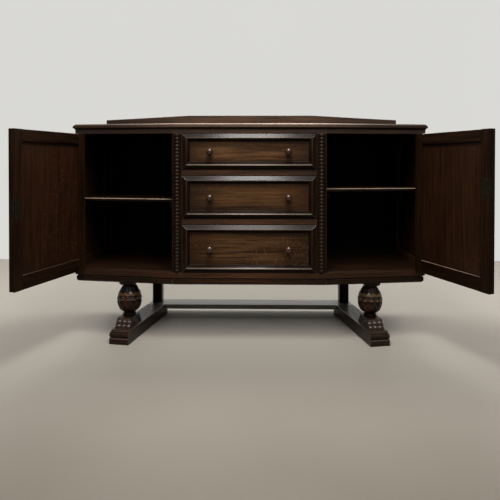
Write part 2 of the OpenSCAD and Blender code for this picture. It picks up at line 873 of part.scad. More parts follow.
// The heights and sides at which a hinge sits, for one door
module each_hinge() {
    for (z = [hinge_low_z, hinge_high_z]) translate([0, 0, z]) children();
}

// The fixed leaf, its two knuckles and the pin, on the case's inner face
leaf_x = -end_inner_x + leaf_t;

module case_leaf_screws() {
    each_hinge() for (z = [-screw_z, screw_z])
        translate([leaf_x, pin_y + leaf_screw_y, z]) rotate([0, -90, 0]) children();
}

module case_screw_holes() {
    case_leaf_screws() screw_hole();
}

module case_leaves() {
    difference() {
        each_hinge() {
            translate([-end_inner_x, pin_y + leaf_start, -hinge_h / 2])
                cube([leaf_t, leaf_w + pin_out - leaf_start, hinge_h]);
            for (s = [-1, 1]) {
                z = s < 0 ? -hinge_h / 2 : hinge_h / 2 - knuckle_h;
                translate([-end_inner_x, pin_y, z]) cube([leaf_t, leaf_start + 1, knuckle_h]);
                translate([pin_x, pin_y, z]) cylinder(r = barrel_r, h = knuckle_h);
            }
            translate([pin_x, pin_y, -hinge_h / 2]) cylinder(r = pin_r, h = hinge_h);
        }
        case_screw_holes();
    }
    case_leaf_screws() screw();
}

module case_hinge_leaves() {
    color(brass) for (s = [-1, 1]) side(s) case_leaves();
}

// The moving leaf and its knuckle, in the door's own frame
module door_leaf_screws() {
    each_hinge() for (z = [-screw_z, screw_z])
        translate([door_x0 - leaf_t, leaf_screw_y, z]) rotate([0, 90, 0]) children();
}

module door_leaves() {
    color(brass) difference() {
        each_hinge() {
            translate([door_x0 - leaf_t, leaf_start, -hinge_h / 2])
                cube([leaf_t, leaf_w + pin_out - leaf_start, hinge_h]);
            translate([door_x0 - leaf_t, 0, -knuckle_h / 2]) cube([leaf_t, leaf_start + 1, knuckle_h]);
            translate([0, 0, -knuckle_h / 2]) cylinder(r = barrel_r, h = knuckle_h);
        }
        each_hinge() translate([0, 0, -hinge_h / 2]) cylinder(r = pin_r + pin_gap, h = hinge_h);
        door_leaf_screws() screw_hole();
    }
    color(brass) door_leaf_screws() screw();
}

/* Door pieces, all in the door's own frame */
module door_panel_blank(gap) {
    translate([field_x0 - groove_depth - gap, panel_y0 - gap, field_z0 - groove_depth - gap])
        cube([
            field_x1 - field_x0 + 2 * (groove_depth + gap),
            panel_t + 2 * gap,
            field_z1 - field_z0 + 2 * (groove_depth + gap)
        ]);
}

module door_stiles(lock_z) {
    color(oak) difference() {
        for (x = [door_x0, field_x1])
            translate([x, door_y0, door_z0]) cube([door_stile_w, frame_t, door_z1 - door_z0]);
        door_panel_blank(glue_gap);
        door_leaf_screws() screw_hole();
        translate([0, 0, lock_z]) {
            lock_blank(glue_gap);
            keyhole(door_y0 - 1, frame_t - lock_case_d + 1);
        }
    }
}

module door_rails() {
    color(oak) difference() {
        for (r = [[door_z0, door_bottom_rail_h], [field_z1, door_top_rail_h]])
            translate([field_x0 + glue_gap, door_y0, r[0]])
                cube([field_x1 - field_x0 - 2 * glue_gap, frame_t, r[1]]);
        door_panel_blank(glue_gap);
    }
}

module door_panel() {
    color(figured_oak) door_panel_blank(0);
}

// The applied moulding: four mitred lengths round a field of w by h, standing on the XZ plane
function moulding_section() = [
    [0, 0], [0, moulding_edge_h], [moulding_slope_w - ridge_w / 2, moulding_h],
    [moulding_slope_w + ridge_w / 2, moulding_h], [moulding_w - 2, 2.5], [moulding_w, 1], [moulding_w, 0]
];

module moulding_length(l) {
    g = glue_gap;
    intersection() {
        translate([-l / 2, 0, 0]) rotate([90, 0, 90]) linear_extrude(l)
            polygon([for (p = moulding_section()) [-p[1], p[0]]]);
        translate([0, moulding_h, 0]) rotate([90, 0, 0]) linear_extrude(3 * moulding_h)
            polygon([
                [-l / 2 + g, 0], [l / 2 - g, 0],
                [l / 2 - moulding_w - g, moulding_w], [-l / 2 + moulding_w + g, moulding_w]
            ]);
    }
}

module mitred_moulding(w, h) {
    translate([0, 0, -h / 2]) moulding_length(w);
    rotate([0, 180, 0]) translate([0, 0, -h / 2]) moulding_length(w);
    for (a = [90, 270]) rotate([0, a, 0]) translate([0, 0, -w / 2]) moulding_length(h);
}

module door_moulding() {
    w = field_x1 - field_x0 - 2 * glue_gap;
    h = field_z1 - field_z0 - 2 * glue_gap;
    color(oak) translate([(field_x0 + field_x1) / 2, panel_y0, (field_z0 + field_z1) / 2])
        mitred_moulding(w, h);
}

// A turned knob that stands out along +z, with its spigot below
module knob() {
    translate([0, 0, -spigot_l]) cylinder(r = spigot_r, h = spigot_l + 1);
    cylinder(r1 = knob_foot_r, r2 = knob_foot_r - 1, h = knob_foot_h);
    cylinder(r = knob_neck_r, h = knob_out - knob_r);
    translate([0, 0, knob_out - knob_r]) sphere(knob_r);
}

/* Locks, each shaped about its own height */
bolt_y = door_y1 - lock_case_d / 2 - bolt_t / 2;
key_x = door_x1 - lock_w / 2;
key_slot_w = 2.4;
key_slot_h = 9;
escutcheon_t = 1.2;

module keyhole(y, depth) {
    translate([key_x, y, 0]) rotate([-90, 0, 0]) cylinder(r = keyhole_r, h = depth);
    translate([key_x - key_slot_w / 2, y, -key_slot_h]) cube([key_slot_w, depth, key_slot_h]);
}

module lock_blank(gap) {
    case_h = lock_h - 8;
    translate([door_x1 - lock_w + 4 - gap, door_y1 - lock_case_d - gap, -case_h / 2 - gap])
        cube([lock_w - 4 + gap + 1, lock_case_d + gap + 1, case_h + 2 * gap]);
    translate([door_x1 - lock_w - gap, door_y1 - lock_plate_t - gap, -lock_h / 2 - gap])
        cube([lock_w + gap + 1, lock_plate_t + gap + 1, lock_h + 2 * gap]);
}

module bolt_blank(gap, l) {
    translate([door_x1 - bolt_l - bolt_gap - gap, bolt_y - gap, -bolt_h / 2 - gap])
        cube([l, bolt_t + 2 * gap, bolt_h + 2 * gap]);
}

// A round plate on the door's outer face, with the keyhole through it
module escutcheon() {
    difference() {
        translate([key_x, door_y0 - escutcheon_t, 0]) rotate([-90, 0, 0])
            cylinder(r = escutcheon_r, h = escutcheon_t);
        keyhole(door_y0 - escutcheon_t - 1, escutcheon_t + 2);
    }
}

// The lock in the door's inner face, and the escutcheon that comes with it
module door_lock(lock_z) {
    color(brass) translate([0, 0, lock_z]) {
        difference() {
            intersection() {
                lock_blank(0);
                translate([0, 0, -lock_h]) cube([door_x1, door_y1, 2 * lock_h]);
            }
            bolt_blank(bolt_gap, bolt_l + reach);
        }
        escutcheon();
    }
}

module bolt(lock_z) {
    color(steel) translate([0, 0, lock_z]) bolt_blank(0, bolt_l);
}

// The mortise in a centre post that takes the bolt when the door is shut
module bolt_mortise(lock_z) {
    at_door(0) translate([door_x1 - 1, bolt_y - 1, lock_z - bolt_h / 2 - 1])
        cube([bolt_throw + 2.5, bolt_t + 2, bolt_h + 2]);
}

/* Drawers */
module drawer_front_board(z, h) {
    front_h = h - 2 * drawer_gap;
    z0 = z + drawer_gap;
    color(figured_oak) difference() {
        translate([-drawer_half_w, 0, z0]) cube([2 * drawer_half_w, drawer_front_t, front_h]);
        for (x = [-drawer_knob_x, drawer_knob_x])
            translate([x, -1, z0 + front_h / 2]) rotate([-90, 0, 0])
                cylinder(r = spigot_r + glue_gap, h = spigot_l + 2);
        translate([
            -drawer_half_w + drawer_side_t - drawer_groove, drawer_front_t - drawer_groove - glue_gap,
            z + drawer_bottom_z - glue_gap
        ])
            cube([
                2 * (drawer_half_w - drawer_side_t + drawer_groove), 2 * drawer_groove,
                drawer_bottom_t + 2 * glue_gap
            ]);
    }
}

module drawer_moulding(z, h) {
    color(oak) translate([0, -glue_gap, z + h / 2])
        mitred_moulding(2 * drawer_half_w, h - 2 * drawer_gap);
}

module drawer_box(z, h) {
    y0 = drawer_front_t + glue_gap;
    side_h = h - drawer_side_drop;
    back_z = z + drawer_bottom_z + drawer_bottom_t + glue_gap;
    back_h = side_h - drawer_bottom_z - drawer_bottom_t - drawer_back_drop;
    inner_half_w = drawer_half_w - drawer_side_t - glue_gap;
    bottom_w = 2 * (drawer_half_w - drawer_side_t + drawer_groove - glue_gap);
    color(inner_oak) {
        difference() {
            for (s = [-1, 1]) side(s)
                translate([-drawer_half_w, y0, z]) cube([drawer_side_t, drawer_side_l, side_h]);
            translate([-bottom_w / 2 - glue_gap, 0, z + drawer_bottom_z - glue_gap])
                cube([bottom_w + 2 * glue_gap, carcase_d, drawer_bottom_t + 2 * glue_gap]);
        }
        translate([-inner_half_w, y0 + drawer_side_l - drawer_side_t - drawer_back_inset, back_z])
            cube([2 * inner_half_w, drawer_side_t, back_h]);
        translate([-bottom_w / 2, drawer_front_t - drawer_groove, z + drawer_bottom_z])
            cube([bottom_w, drawer_side_l + drawer_groove - 4, drawer_bottom_t]);
    }
}

module drawer_knobs(z, h) {
    color(oak) for (x = [-drawer_knob_x, drawer_knob_x])
        translate([x, 0, z + h / 2]) rotate([90, 0, 0]) knob();
}

place() top_board();
place() back_gallery();
place() back_panel();
place() side(-1) end_frame();  // left_end_frame
place() side(-1) end_panel();  // left_end_panel
place() side(1) end_frame();  // right_end_frame
place() side(1) end_panel();  // right_end_panel
place() side(-1) partition();  // left_partition
place() side(1) partition();  // right_partition
place() bottom_board();
place() leg_bearers();
place() frieze_rail();
place() side(-1) centre_post() bolt_mortise(left_lock_z);  // left_centre_post
place() side(1) centre_post() bolt_mortise(right_lock_z);  // right_centre_post
place() side(-1) bead_strip();  // left_bead_strip
place() side(1) bead_strip();  // right_bead_strip
place() drawer_rails();
place() base_rail();
place() base_moulding();
place() side(-1) shelf(left_shelf_z);  // left_shelf
place() side(1) shelf(right_shelf_z);  // right_shelf
place() shelf_battens();
place() drawer_runners();
place() drawer_stops();
place() side(-1) sled_rail();  // left_sled_rail
place() side(1) sled_rail();  // right_sled_rail
place() side(-1) foot_block();  // left_foot_block
place() side(1) foot_block();  // right_foot_block
place() side(-1) turned_leg();  // left_turned_leg
place() side(1) turned_leg();  // right_turned_leg
place() side(-1) rear_post();  // left_rear_post
place() side(1) rear_post();  // right_rear_post
place() stretcher();
place() case_hinge_leaves();
place() side(-1) at_door(left_open) door_stiles(left_lock_z);  // left_door_stiles
place() side(-1) at_door(left_open) door_rails();  // left_door_rails
place() side(-1) at_door(left_open) door_panel();  // left_door_panel
place() side(-1) at_door(left_open) door_moulding();  // left_door_moulding
place() side(-1) at_door(left_open) door_leaves();  // left_door_hinge_leaves
place() side(1) at_door(right_open) door_stiles(right_lock_z);  // right_door_stiles
place() side(1) at_door(right_open) door_rails();  // right_door_rails
place() side(1) at_door(right_open) door_panel();  // right_door_panel
place() side(1) at_door(right_open) door_moulding();  // right_door_moulding
place() side(1) at_door(right_open) door_leaves();  // right_door_hinge_leaves
place() side(-1) at_door(left_open) door_lock(left_lock_z);  // left_door_lock
place() side(-1) at_door(left_open) bolt(left_lock_z);  // left_door_lock_bolt
place() side(1) at_door(right_open) door_lock(right_lock_z);  // right_door_lock
place() side(1) at_door(right_open) bolt(right_lock_z);  // right_door_lock_bolt
place() drawer_front_board(upper_z, top_drawer_h);  // top_drawer_front
place() drawer_moulding(upper_z, top_drawer_h);  // top_drawer_moulding
place() drawer_box(upper_z, top_drawer_h);  // top_drawer_box
place() drawer_knobs(upper_z, top_drawer_h);  // top_drawer_knobs
place() drawer_front_board(middle_z, middle_drawer_h);  // middle_drawer_front
place() drawer_moulding(middle_z, middle_drawer_h);  // middle_drawer_moulding
place() drawer_box(middle_z, middle_drawer_h);  // middle_drawer_box
place() drawer_knobs(middle_z, middle_drawer_h);  // middle_drawer_knobs
place() drawer_front_board(open_z, bottom_drawer_h);  // bottom_drawer_front
place() drawer_moulding(open_z, bottom_drawer_h);  // bottom_drawer_moulding
place() drawer_box(open_z, bottom_drawer_h);  // bottom_drawer_box
place() drawer_knobs(open_z, bottom_drawer_h);  // bottom_drawer_knobs
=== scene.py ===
"""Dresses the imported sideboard: rubbed edges, carved feet, turned knobs and beads, oak, and a plain room.

Sizes are in metres. Object coordinates are the row frame: X to the right, Y to the back, Z up from the floor.
"""

import json
from contextlib import contextmanager
from functools import wraps
from math import atan2, cos, hypot, pi, radians, sin, sqrt, tan

import bpy
from mathutils import Matrix, Vector

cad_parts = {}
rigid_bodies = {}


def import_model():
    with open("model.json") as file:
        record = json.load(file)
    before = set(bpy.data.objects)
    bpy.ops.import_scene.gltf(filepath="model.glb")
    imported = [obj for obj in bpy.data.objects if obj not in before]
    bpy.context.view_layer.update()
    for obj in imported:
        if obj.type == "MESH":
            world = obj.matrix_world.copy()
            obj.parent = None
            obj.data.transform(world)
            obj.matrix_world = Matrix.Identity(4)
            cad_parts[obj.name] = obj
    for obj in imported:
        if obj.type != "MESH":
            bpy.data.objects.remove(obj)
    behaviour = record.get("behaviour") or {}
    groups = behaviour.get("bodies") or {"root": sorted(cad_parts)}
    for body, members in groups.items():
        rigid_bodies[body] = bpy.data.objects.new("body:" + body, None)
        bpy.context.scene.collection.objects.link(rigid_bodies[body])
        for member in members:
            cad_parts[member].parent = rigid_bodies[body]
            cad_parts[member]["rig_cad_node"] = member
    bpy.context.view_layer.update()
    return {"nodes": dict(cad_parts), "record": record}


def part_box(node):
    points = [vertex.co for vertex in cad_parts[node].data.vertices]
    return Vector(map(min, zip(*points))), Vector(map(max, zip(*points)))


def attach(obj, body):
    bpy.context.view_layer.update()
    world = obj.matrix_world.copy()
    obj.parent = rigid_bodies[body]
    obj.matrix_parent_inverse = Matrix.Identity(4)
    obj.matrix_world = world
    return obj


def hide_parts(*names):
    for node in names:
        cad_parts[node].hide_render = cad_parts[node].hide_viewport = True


bl_info = {
    "name": "Oak Sideboard",
    "version": (1, 0, 0),
    "blender": (4, 5, 0),
    "location": "View3D > Sidebar > Sideboard",
    "description": "Builds the looks of a carved oak sideboard round its packed solids",
    "category": "Object",
}

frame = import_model()
BODY_OF = {node: body for body, nodes in frame["record"]["behaviour"]["bodies"].items() for node in nodes}
SIDES = ("left", "right")
DRAWERS = ("top", "middle", "bottom")


def middle(node):
    """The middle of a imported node's box."""
    low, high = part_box(node)
    return (low + high) / 2


def half_size(node):
    """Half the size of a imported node's box."""
    low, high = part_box(node)
    return (high - low) / 2


# Kinds of setting, each with the unit or subtype that fits it

def tint(name, description, colour):
    return bpy.props.FloatVectorProperty(name=name, description=description, subtype="COLOR", default=colour)


def length(name, description, metres):
    return bpy.props.FloatProperty(name=name, description=description, unit="LENGTH", precision=4,
                                   default=metres)


def angle(name, description, degrees):
    return bpy.props.FloatProperty(name=name, description=description, subtype="ANGLE",
                                   default=radians(degrees))


def number(name, description, value):
    return bpy.props.FloatProperty(name=name, description=description, default=value)


def whole(name, description, value, least):
    return bpy.props.IntProperty(name=name, description=description, default=value, min=least)


# Sizes and colours that a user may change

class StainedOak(bpy.types.PropertyGroup):
    case_dark: tint("Case, dark", "Darker grain of the case, doors' frames and mouldings",
                    (0.0070, 0.0030, 0.0015))
    case_light: tint("Case, light", "Lighter grain of the case, doors' frames and mouldings",
                     (0.044, 0.0195, 0.0085))
    top_dark: tint("Top, dark", "Darker grain of the top board and gallery", (0.012, 0.0058, 0.0028))
    top_light: tint("Top, light", "Lighter grain of the top board and gallery", (0.082, 0.042, 0.021))
    field_dark: tint("Fields, dark", "Darker grain of the drawer fields", (0.011, 0.0050, 0.0021))
    field_light: tint("Fields, light", "Lighter grain of the drawer fields", (0.130, 0.060, 0.0225))
    panel_dark: tint("Panels, dark", "Darker grain of the door and end panels", (0.0065, 0.0024, 0.0010))
    panel_light: tint("Panels, light", "Lighter grain of the door and end panels", (0.028, 0.0100, 0.0036))
    # The boards inside the cupboards are near black: painted shade of the closed cupboards
    inner_dark: tint("Inside, dark", "Darker grain of the boards inside the cupboards",
                     (0.0016, 0.0009, 0.0006))
    inner_light: tint("Inside, light", "Lighter grain of the boards inside the cupboards",
                      (0.012, 0.0062, 0.0034))
    box_dark: tint("Drawer boxes, dark", "Darker grain of the unstained boxes and runners",
                   (0.13, 0.075, 0.038))
    box_light: tint("Drawer boxes, light", "Lighter grain of the unstained boxes and runners",
                    (0.27, 0.17, 0.095))
    # Carved pieces run from this dark, where painted shade fills their hollows, to their light colour on the
    # high spots
    foot_dark: tint("Feet, dark", "Stain left in the hollows of the carved feet", (0.0040, 0.0024, 0.0018))
    foot_light: tint("Feet, light", "Rubbed high spots of the carved feet", (0.074, 0.033, 0.0130))
    # The right leg's light is brighter and more olive than the left's: its own tone and a painted highlight
    leg_olive: tint("Right leg, light", "Rubbed high spots of the right leg, more olive than the left",
                    (0.098, 0.054, 0.0185))
    # A painted sheen: the pale tops of the sledge rails and the stretcher stand for the wall's reflection in
    # them
    painted_sheen: tint("Base, pale", "Wood worn pale on the tops of the sledge rails and the stretcher",
                    (0.138, 0.120, 0.098))
    worn: tint("Worn edge", "Wood that shows where the stain has rubbed off the edges", (0.075, 0.044, 0.026))
    # Pale edges: bare wood, and a painted highlight on the upper edges and on the ridges and lip of the
    # mouldings
    worn_and_highlight: tint("Worn top and shelves", "Bare wood on the edges that hands touch most", (0.34, 0.25, 0.18))
    bead: tint("Beads", "Rubbed high spots of the bead strips", (0.022, 0.0105, 0.0055))
    knob: tint("Knobs", "Rubbed wood of the turned knobs", (0.048, 0.0180, 0.0078))
    brass: tint("Brass", "Tarnished brass of the hinges", (0.24, 0.155, 0.065))
    lock: tint("Lock", "Blackened brass of the locks and escutcheons", (0.020, 0.0155, 0.0075))
    steel: tint("Steel", "Dull steel of the lock bolts", (0.030, 0.026, 0.022))
    gloss: bpy.props.FloatProperty(
        name="Roughness", description="Roughness of the old polish, 0 is a mirror",
        subtype="FACTOR", min=0, max=1, default=0.34)


class EasedEdges(bpy.types.PropertyGroup):
    board: length("Boards", "Width of the rubbed edge on rails, stiles and boards", 0.0012)
    top: length("Top", "Width of the rubbed edge on the top board and gallery", 0.0016)
    moulding: length("Mouldings", "Width of the rubbed edge on the mitred mouldings", 0.0007)
    shelf: length("Shelves", "Width of the rubbed edge on the shelves", 0.0024)
    base: length("Base", "Width of the rubbed edge on sledge rails, posts and stretcher", 0.0020)


class TurnedKnob(bpy.types.PropertyGroup):
    ball_radius: length("Ball radius", "Radius of the knob's ball", 0.0135)
    reach: length("Reach", "How far a knob stands out", 0.031)
    foot_radius: length("Foot radius", "Radius of the ring at its foot", 0.009)
    neck_radius: length("Neck radius", "Radius of its neck", 0.0058)
    spacing: length("Half spacing", "From a drawer's middle to each of its knobs", 0.147)


class TurnedBeads(bpy.types.PropertyGroup):
    radius: length("Radius", "Radius of a bead", 0.0095)
    waist: length("Waist", "Radius between two beads", 0.0048)
    count: whole("Count", "Beads on each strip", 39, 4)


class CarvedFoot(bpy.types.PropertyGroup):
    leaves: whole("Leaves", "Carved leaves round the cup", 12, 5)
    gadroons: whole("Gadroons", "Lobes round the cover", 12, 5)
    leaf_cut: length("Leaf cut", "Depth of the leaf carving", 0.0040)
    gadroon_cut: length("Gadroon cut", "Depth between the lobes of the cover", 0.0036)
    lobe_height: length("Block lobes", "How far the lobes stand proud of the block's front", 0.0026)
    splay: angle("Splay", "Angle of the sledge rails to the depth of the case", 10.5)
    leg_setback: length("Leg setback", "From the rail's front to the leg's middle", 0.083)


class OpenDoors(bpy.types.PropertyGroup):
    cant: angle("Cant", "Angle of the doors' openings to the front", 8.5)
    left: angle("Left door", "How far the left door stands open", 98)
    right: angle("Right door", "How far the right door stands open", 101)


class PhotoView(bpy.types.PropertyGroup):
    place: bpy.props.FloatVectorProperty(
        name="Camera place", description="Where the camera stands", subtype="TRANSLATION",
        default=(0.0219, -1.9744, 0.6873))
    lens: number("Lens", "Focal length in millimetres on a 36 mm sensor", 36.64)
    pitch: angle("Pitch", "How far the camera looks down", 0.72)
    yaw: angle("Yaw", "How far it looks to the left", 0.84)
    roll: angle("Roll", "How far it leans", 0.06)
    drop: number("Vertical shift", "Shift of the picture below the optical axis", -0.1632)


class PlainRoom(bpy.types.PropertyGroup):
    wall_distance: length("Wall", "Where the wall behind the sideboard stands along Y", 1.587)
    floor_colour: tint("Floor", "Colour of the floor", (0.40, 0.36, 0.305))
    wall_colour: tint("Wall colour", "Colour of the wall", (0.70, 0.695, 0.670))
    ceiling_light: number("Ceiling light", "Power of the soft light overhead, in watts", 24)
    front_light: number("Front light", "Power of the soft light in front, in watts", 100)
    wall_light: number("Wall light", "Power of the soft light over the wall, in watts", 60)
    ambient: number("Ambient", "Strength of the light from all round", 0.24)


GROUPS = {
    "sideboard_oak": StainedOak,
    "sideboard_edges": EasedEdges,
    "sideboard_knob": TurnedKnob,
    "sideboard_beads": TurnedBeads,
    "sideboard_foot": CarvedFoot,
    "sideboard_doors": OpenDoors,
    "sideboard_view": PhotoView,
    "sideboard_room": PlainRoom,
}


# Sums on the sockets of a material

def plug(node, inputs):
    """Links each socket to its signal, or sets its value."""
    for name, value in inputs.items():
        if isinstance(value, Signal):
            value.tree.links.new(value.socket, node.inputs[name])
        else:
            node.inputs[name].default_value = value


class Signal:
    """One output in a material's nodes. Ordinary sums on it add its Math nodes."""

    def __init__(self, tree, socket):
        self.tree = tree
        self.socket = socket

    def node(self, kind, inputs, settings=None, out=0):
        """Adds a node: its settings first, then the values or links of its sockets."""
        made = self.tree.nodes.new(kind)
        for name, value in (settings or {}).items():
            setattr(made, name, value)
        plug(made, inputs)
        return Signal(self.tree, made.outputs[out])

    def sum(self, operation, *values):
        return self.node("ShaderNodeMath", dict(enumerate(values)), {"operation": operation})

    def __add__(self, other):
        return self.sum("ADD", self, other)

    def __radd__(self, other):
        return self.sum("ADD", other, self)

    def __sub__(self, other):
        return self.sum("SUBTRACT", self, other)

    def __rsub__(self, other):
        return self.sum("SUBTRACT", other, self)

    def __mul__(self, other):
        return self.sum("MULTIPLY", self, other)

    def __rmul__(self, other):
        return self.sum("MULTIPLY", other, self)

    def __truediv__(self, other):
        return self.sum("DIVIDE", self, other)

    def __pow__(self, other):
        return self.sum("POWER", self, other)

    def __lt__(self, other):
        return self.sum("LESS_THAN", self, other)

    def __gt__(self, other):
        return self.sum("GREATER_THAN", self, other)

    def __abs__(self):
        return self.sum("ABSOLUTE", self)

    def between(self, low, high):
        """0 below low, 1 above high, and a smooth rise between."""
        return self.node("ShaderNodeMapRange", {"Value": self, "From Min": low, "From Max": high},
                         {"interpolation_type": "SMOOTHSTEP"})

    def within(self, rise, fall):
        """1 between a rise and a fall, and 0 outside them. Each is a low and a high."""
        return self.between(*rise) * (1 - self.between(*fall))

    def mix(self, a, b):
        """The colour a where this is 0 and b where it is 1."""
        return self.node("ShaderNodeMix", {0: self, 6: rgba(a), 7: rgba(b)}, {"data_type": "RGBA"}, out=2)

    def pick(self, a, b):
        """The value a where this is 0 and b where it is 1."""
        return self.node("ShaderNodeMix", {0: self, 2: a, 3: b}, {"data_type": "FLOAT"}, out=0)

    def steer(self, a, b):
        """The vector a where this is 0 and b where it is 1."""
        return self.node("ShaderNodeMix", {0: self, 4: a, 5: b}, {"data_type": "VECTOR"}, out=1)

    def axes(self):
        """The X, Y and Z of a vector."""
        split = self.node("ShaderNodeSeparateXYZ", {"Vector": self}).socket.node
        return [Signal(self.tree, split.outputs[i]) for i in range(3)]

    def mapped(self, place=(0, 0, 0), turn=(0, 0, 0), scale=(1, 1, 1)):
        return self.node("ShaderNodeMapping",
                         {"Vector": self, "Location": place, "Rotation": turn, "Scale": scale})

    def about(self, centre, turn=0.0):
        """Coordinates about a centre, turned in plan."""
        return self.mapped(place=-(Matrix.Rotation(-turn, 3, "Z") @ centre), turn=(0, 0, -turn))

    def noise(self, scale, detail=2.0, rough=0.5, bend=0.0):
        inputs = {"Vector": self, "Scale": scale, "Detail": detail, "Roughness": rough, "Distortion": bend}
        return self.node("ShaderNodeTexNoise", inputs)

    def bump(self, strength, distance):
        """The normal of a surface with this height."""
        return self.node("ShaderNodeBump", {"Height": self, "Strength": strength, "Distance": distance})


def rgba(colour):
    """A colour as a socket takes it. A signal is left as it is."""
    return colour if isinstance(colour, Signal) else (*colour, 1)


def vector(x, y, z):
    return x.node("ShaderNodeCombineXYZ", {"X": x, "Y": y, "Z": z})


def deeper(depth, *colours):
    """The colours with their light multiplied by a depth."""
    return [[part * depth for part in colour] for colour in colours]


def stain():
    """The colours that the user has set."""
    return bpy.context.scene.sideboard_oak


def new_material(name):
    """An empty material's own coordinates and its shader node."""
    material = bpy.data.materials.new(name)
    material.use_nodes = True
    tree = material.node_tree
    shader = next(n for n in tree.nodes if n.type == "BSDF_PRINCIPLED")
    coordinates = tree.nodes.new("ShaderNodeTexCoord")
    return material, Signal(tree, coordinates.outputs["Object"]), shader


def made_once(finish):
    """A finish that is asked for again by its name gives the material that is there."""
    @wraps(finish)
    def asked(name, *details, **settings):
        return bpy.data.materials.get(name) or finish(name, *details, **settings)
    return asked


# Oak

# How the grain, which runs along X, is turned to run along each axis
ALONG = {"x": (0, 0, 0), "y": (0, 0, pi / 2), "z": (0, pi / 2, 0)}

# Across a mitred moulding, from its outer edge inwards: the ridge with its painted highlight, and the corner
# at its foot and its underside in painted shade
MOULDING_RIDGE = (0.0140, 0.0152), (0.0182, 0.0195)
MOULDING_CORNER = (0.0205, 0.0240)
MOULDING_UNDER = (0.0135, 0.0160)
MOULDING_WIDTH = 0.029

# Up the moulded edge of the top, as shares of its height: the hollow and the groove in painted shade, and the
# lip with its painted highlight
NOSING_HOLLOW = (0.28, 0.36)
NOSING_GROOVE = (0.58, 0.62), (0.74, 0.78)
NOSING_LIP = (0.78, 0.84)

# Heights above the foot of the carved leg: where carving starts, tips of both rows of leaves, and the cover
CUP_FOOT = 0.0165
LEAF_TIP, LEAF_DIP, LEAF_GROUND = 0.0785, 0.0100, 0.0795
LOW_TIP, LOW_DIP = 0.0540, 0.0150
COVER_EDGE, COVER_DIP, COVER_TOP = 0.0925, 0.0055, 0.1162


def oak_grain(at):
    """Streaks, fine grain, open pores, ray flecks and clouds of quartered oak, along X of the coordinates.

    The scale of each pattern is given along the grain and twice across it.
    """
    waver = at.mapped(scale=(2.2, 5, 5)).noise(1, 2) - 0.5
    x, y, z = at.axes()
    bent = vector(x, y + waver * 0.030, z + waver * 0.022)
    streak = bent.mapped(scale=(3.8, 135, 135)).noise(1, 5, 0.66)
    fine = bent.mapped(scale=(9, 340, 340)).noise(1, 3, 0.6)
    pores = bent.mapped(scale=(42, 1150, 1150)).noise(1, 1, 0.5).between(0.60, 0.70)
    ray = bent.mapped(scale=(230, 60, 60)).noise(1, 2, 0.55, 0.5).between(0.55, 0.68)
    patch = at.mapped(scale=(3.2, 8, 8)).noise(1, 2).between(0.47, 0.66)
    cloud = at.mapped(scale=(2.4, 6, 6)).noise(1, 3, 0.6)
    return streak, fine, pores, ray * patch, cloud


def frame_grain(at, centre, turn, half_width, half_height):
    """Coordinates whose X follows each length of a mitred frame that stands upright about a centre."""
    local = at.about(centre, turn)
    x, y, z = local.axes()
    upright = (half_width - abs(x)) < (half_height - abs(z))
    return upright.steer(local, vector(z + 0.37, y, x))


def field_light(at, centre, half_width, half_height, soft=0.040, least=0.08):
    """Painted light and shade: 1 in the middle of a field, where most light falls, falling towards its edges.
    """
    x, _, z = at.about(centre).axes()
    ends = (half_width - abs(x)).between(-soft, soft * 4)
    edges = (half_height - abs(z)).between(-0.012, 0.030)
    return ends * edges * (1 - least) + least


def mitred_sheen_and_shade(at, centre, turn, half_width, half_height):
    """A pale ridge along a mitred moulding, rubbed wood with a painted highlight, and painted shade at the
    ridge's foot, under the lower lengths, on the upright lengths and towards the ends.
    """
    x, _, z = at.about(centre, turn).axes()
    from_end = half_width - abs(x)
    from_edge = half_height - abs(z)
    inwards = from_end.sum("MINIMUM", from_end, from_edge)
    level = from_edge < from_end
    # Painted highlight along the ridge, and painted shade at its foot, under the lower lengths and towards
    # the ends
    ridge = inwards.within(*MOULDING_RIDGE) * level
    corner = inwards.between(*MOULDING_CORNER)
    under = (z < 0) * level * (1 - inwards.between(*MOULDING_UNDER))
    ends = abs(x).between(half_width * 0.22, half_width * 0.85) * level.pick((x > 0) * 0.65 + 0.35, 1.0)
    return ridge, 1 - (1 - corner * 0.75) * (1 - under * 0.80) * (1 - ends * 0.62)


def nosing_sheen_and_shade(at, low, high):
    """A pale lip on the upper edge of the top, rubbed wood with a painted highlight that fades towards its
    ends, and painted shade in its groove, in its hollow and at its ends.
    """
    x, _, z = at.axes()
    up = (z - low) / (high - low)
    groove = up.within(*NOSING_GROOVE)
    hollow = 1 - up.between(*NOSING_HOLLOW)
    ends = abs(x).between(0.16, 0.56)
    lip = up.between(*NOSING_LIP) * (1 - ends * 0.6)
    return lip, 1 - (1 - groove) * (1 - hollow * 0.9) * (1 - ends * 0.90)


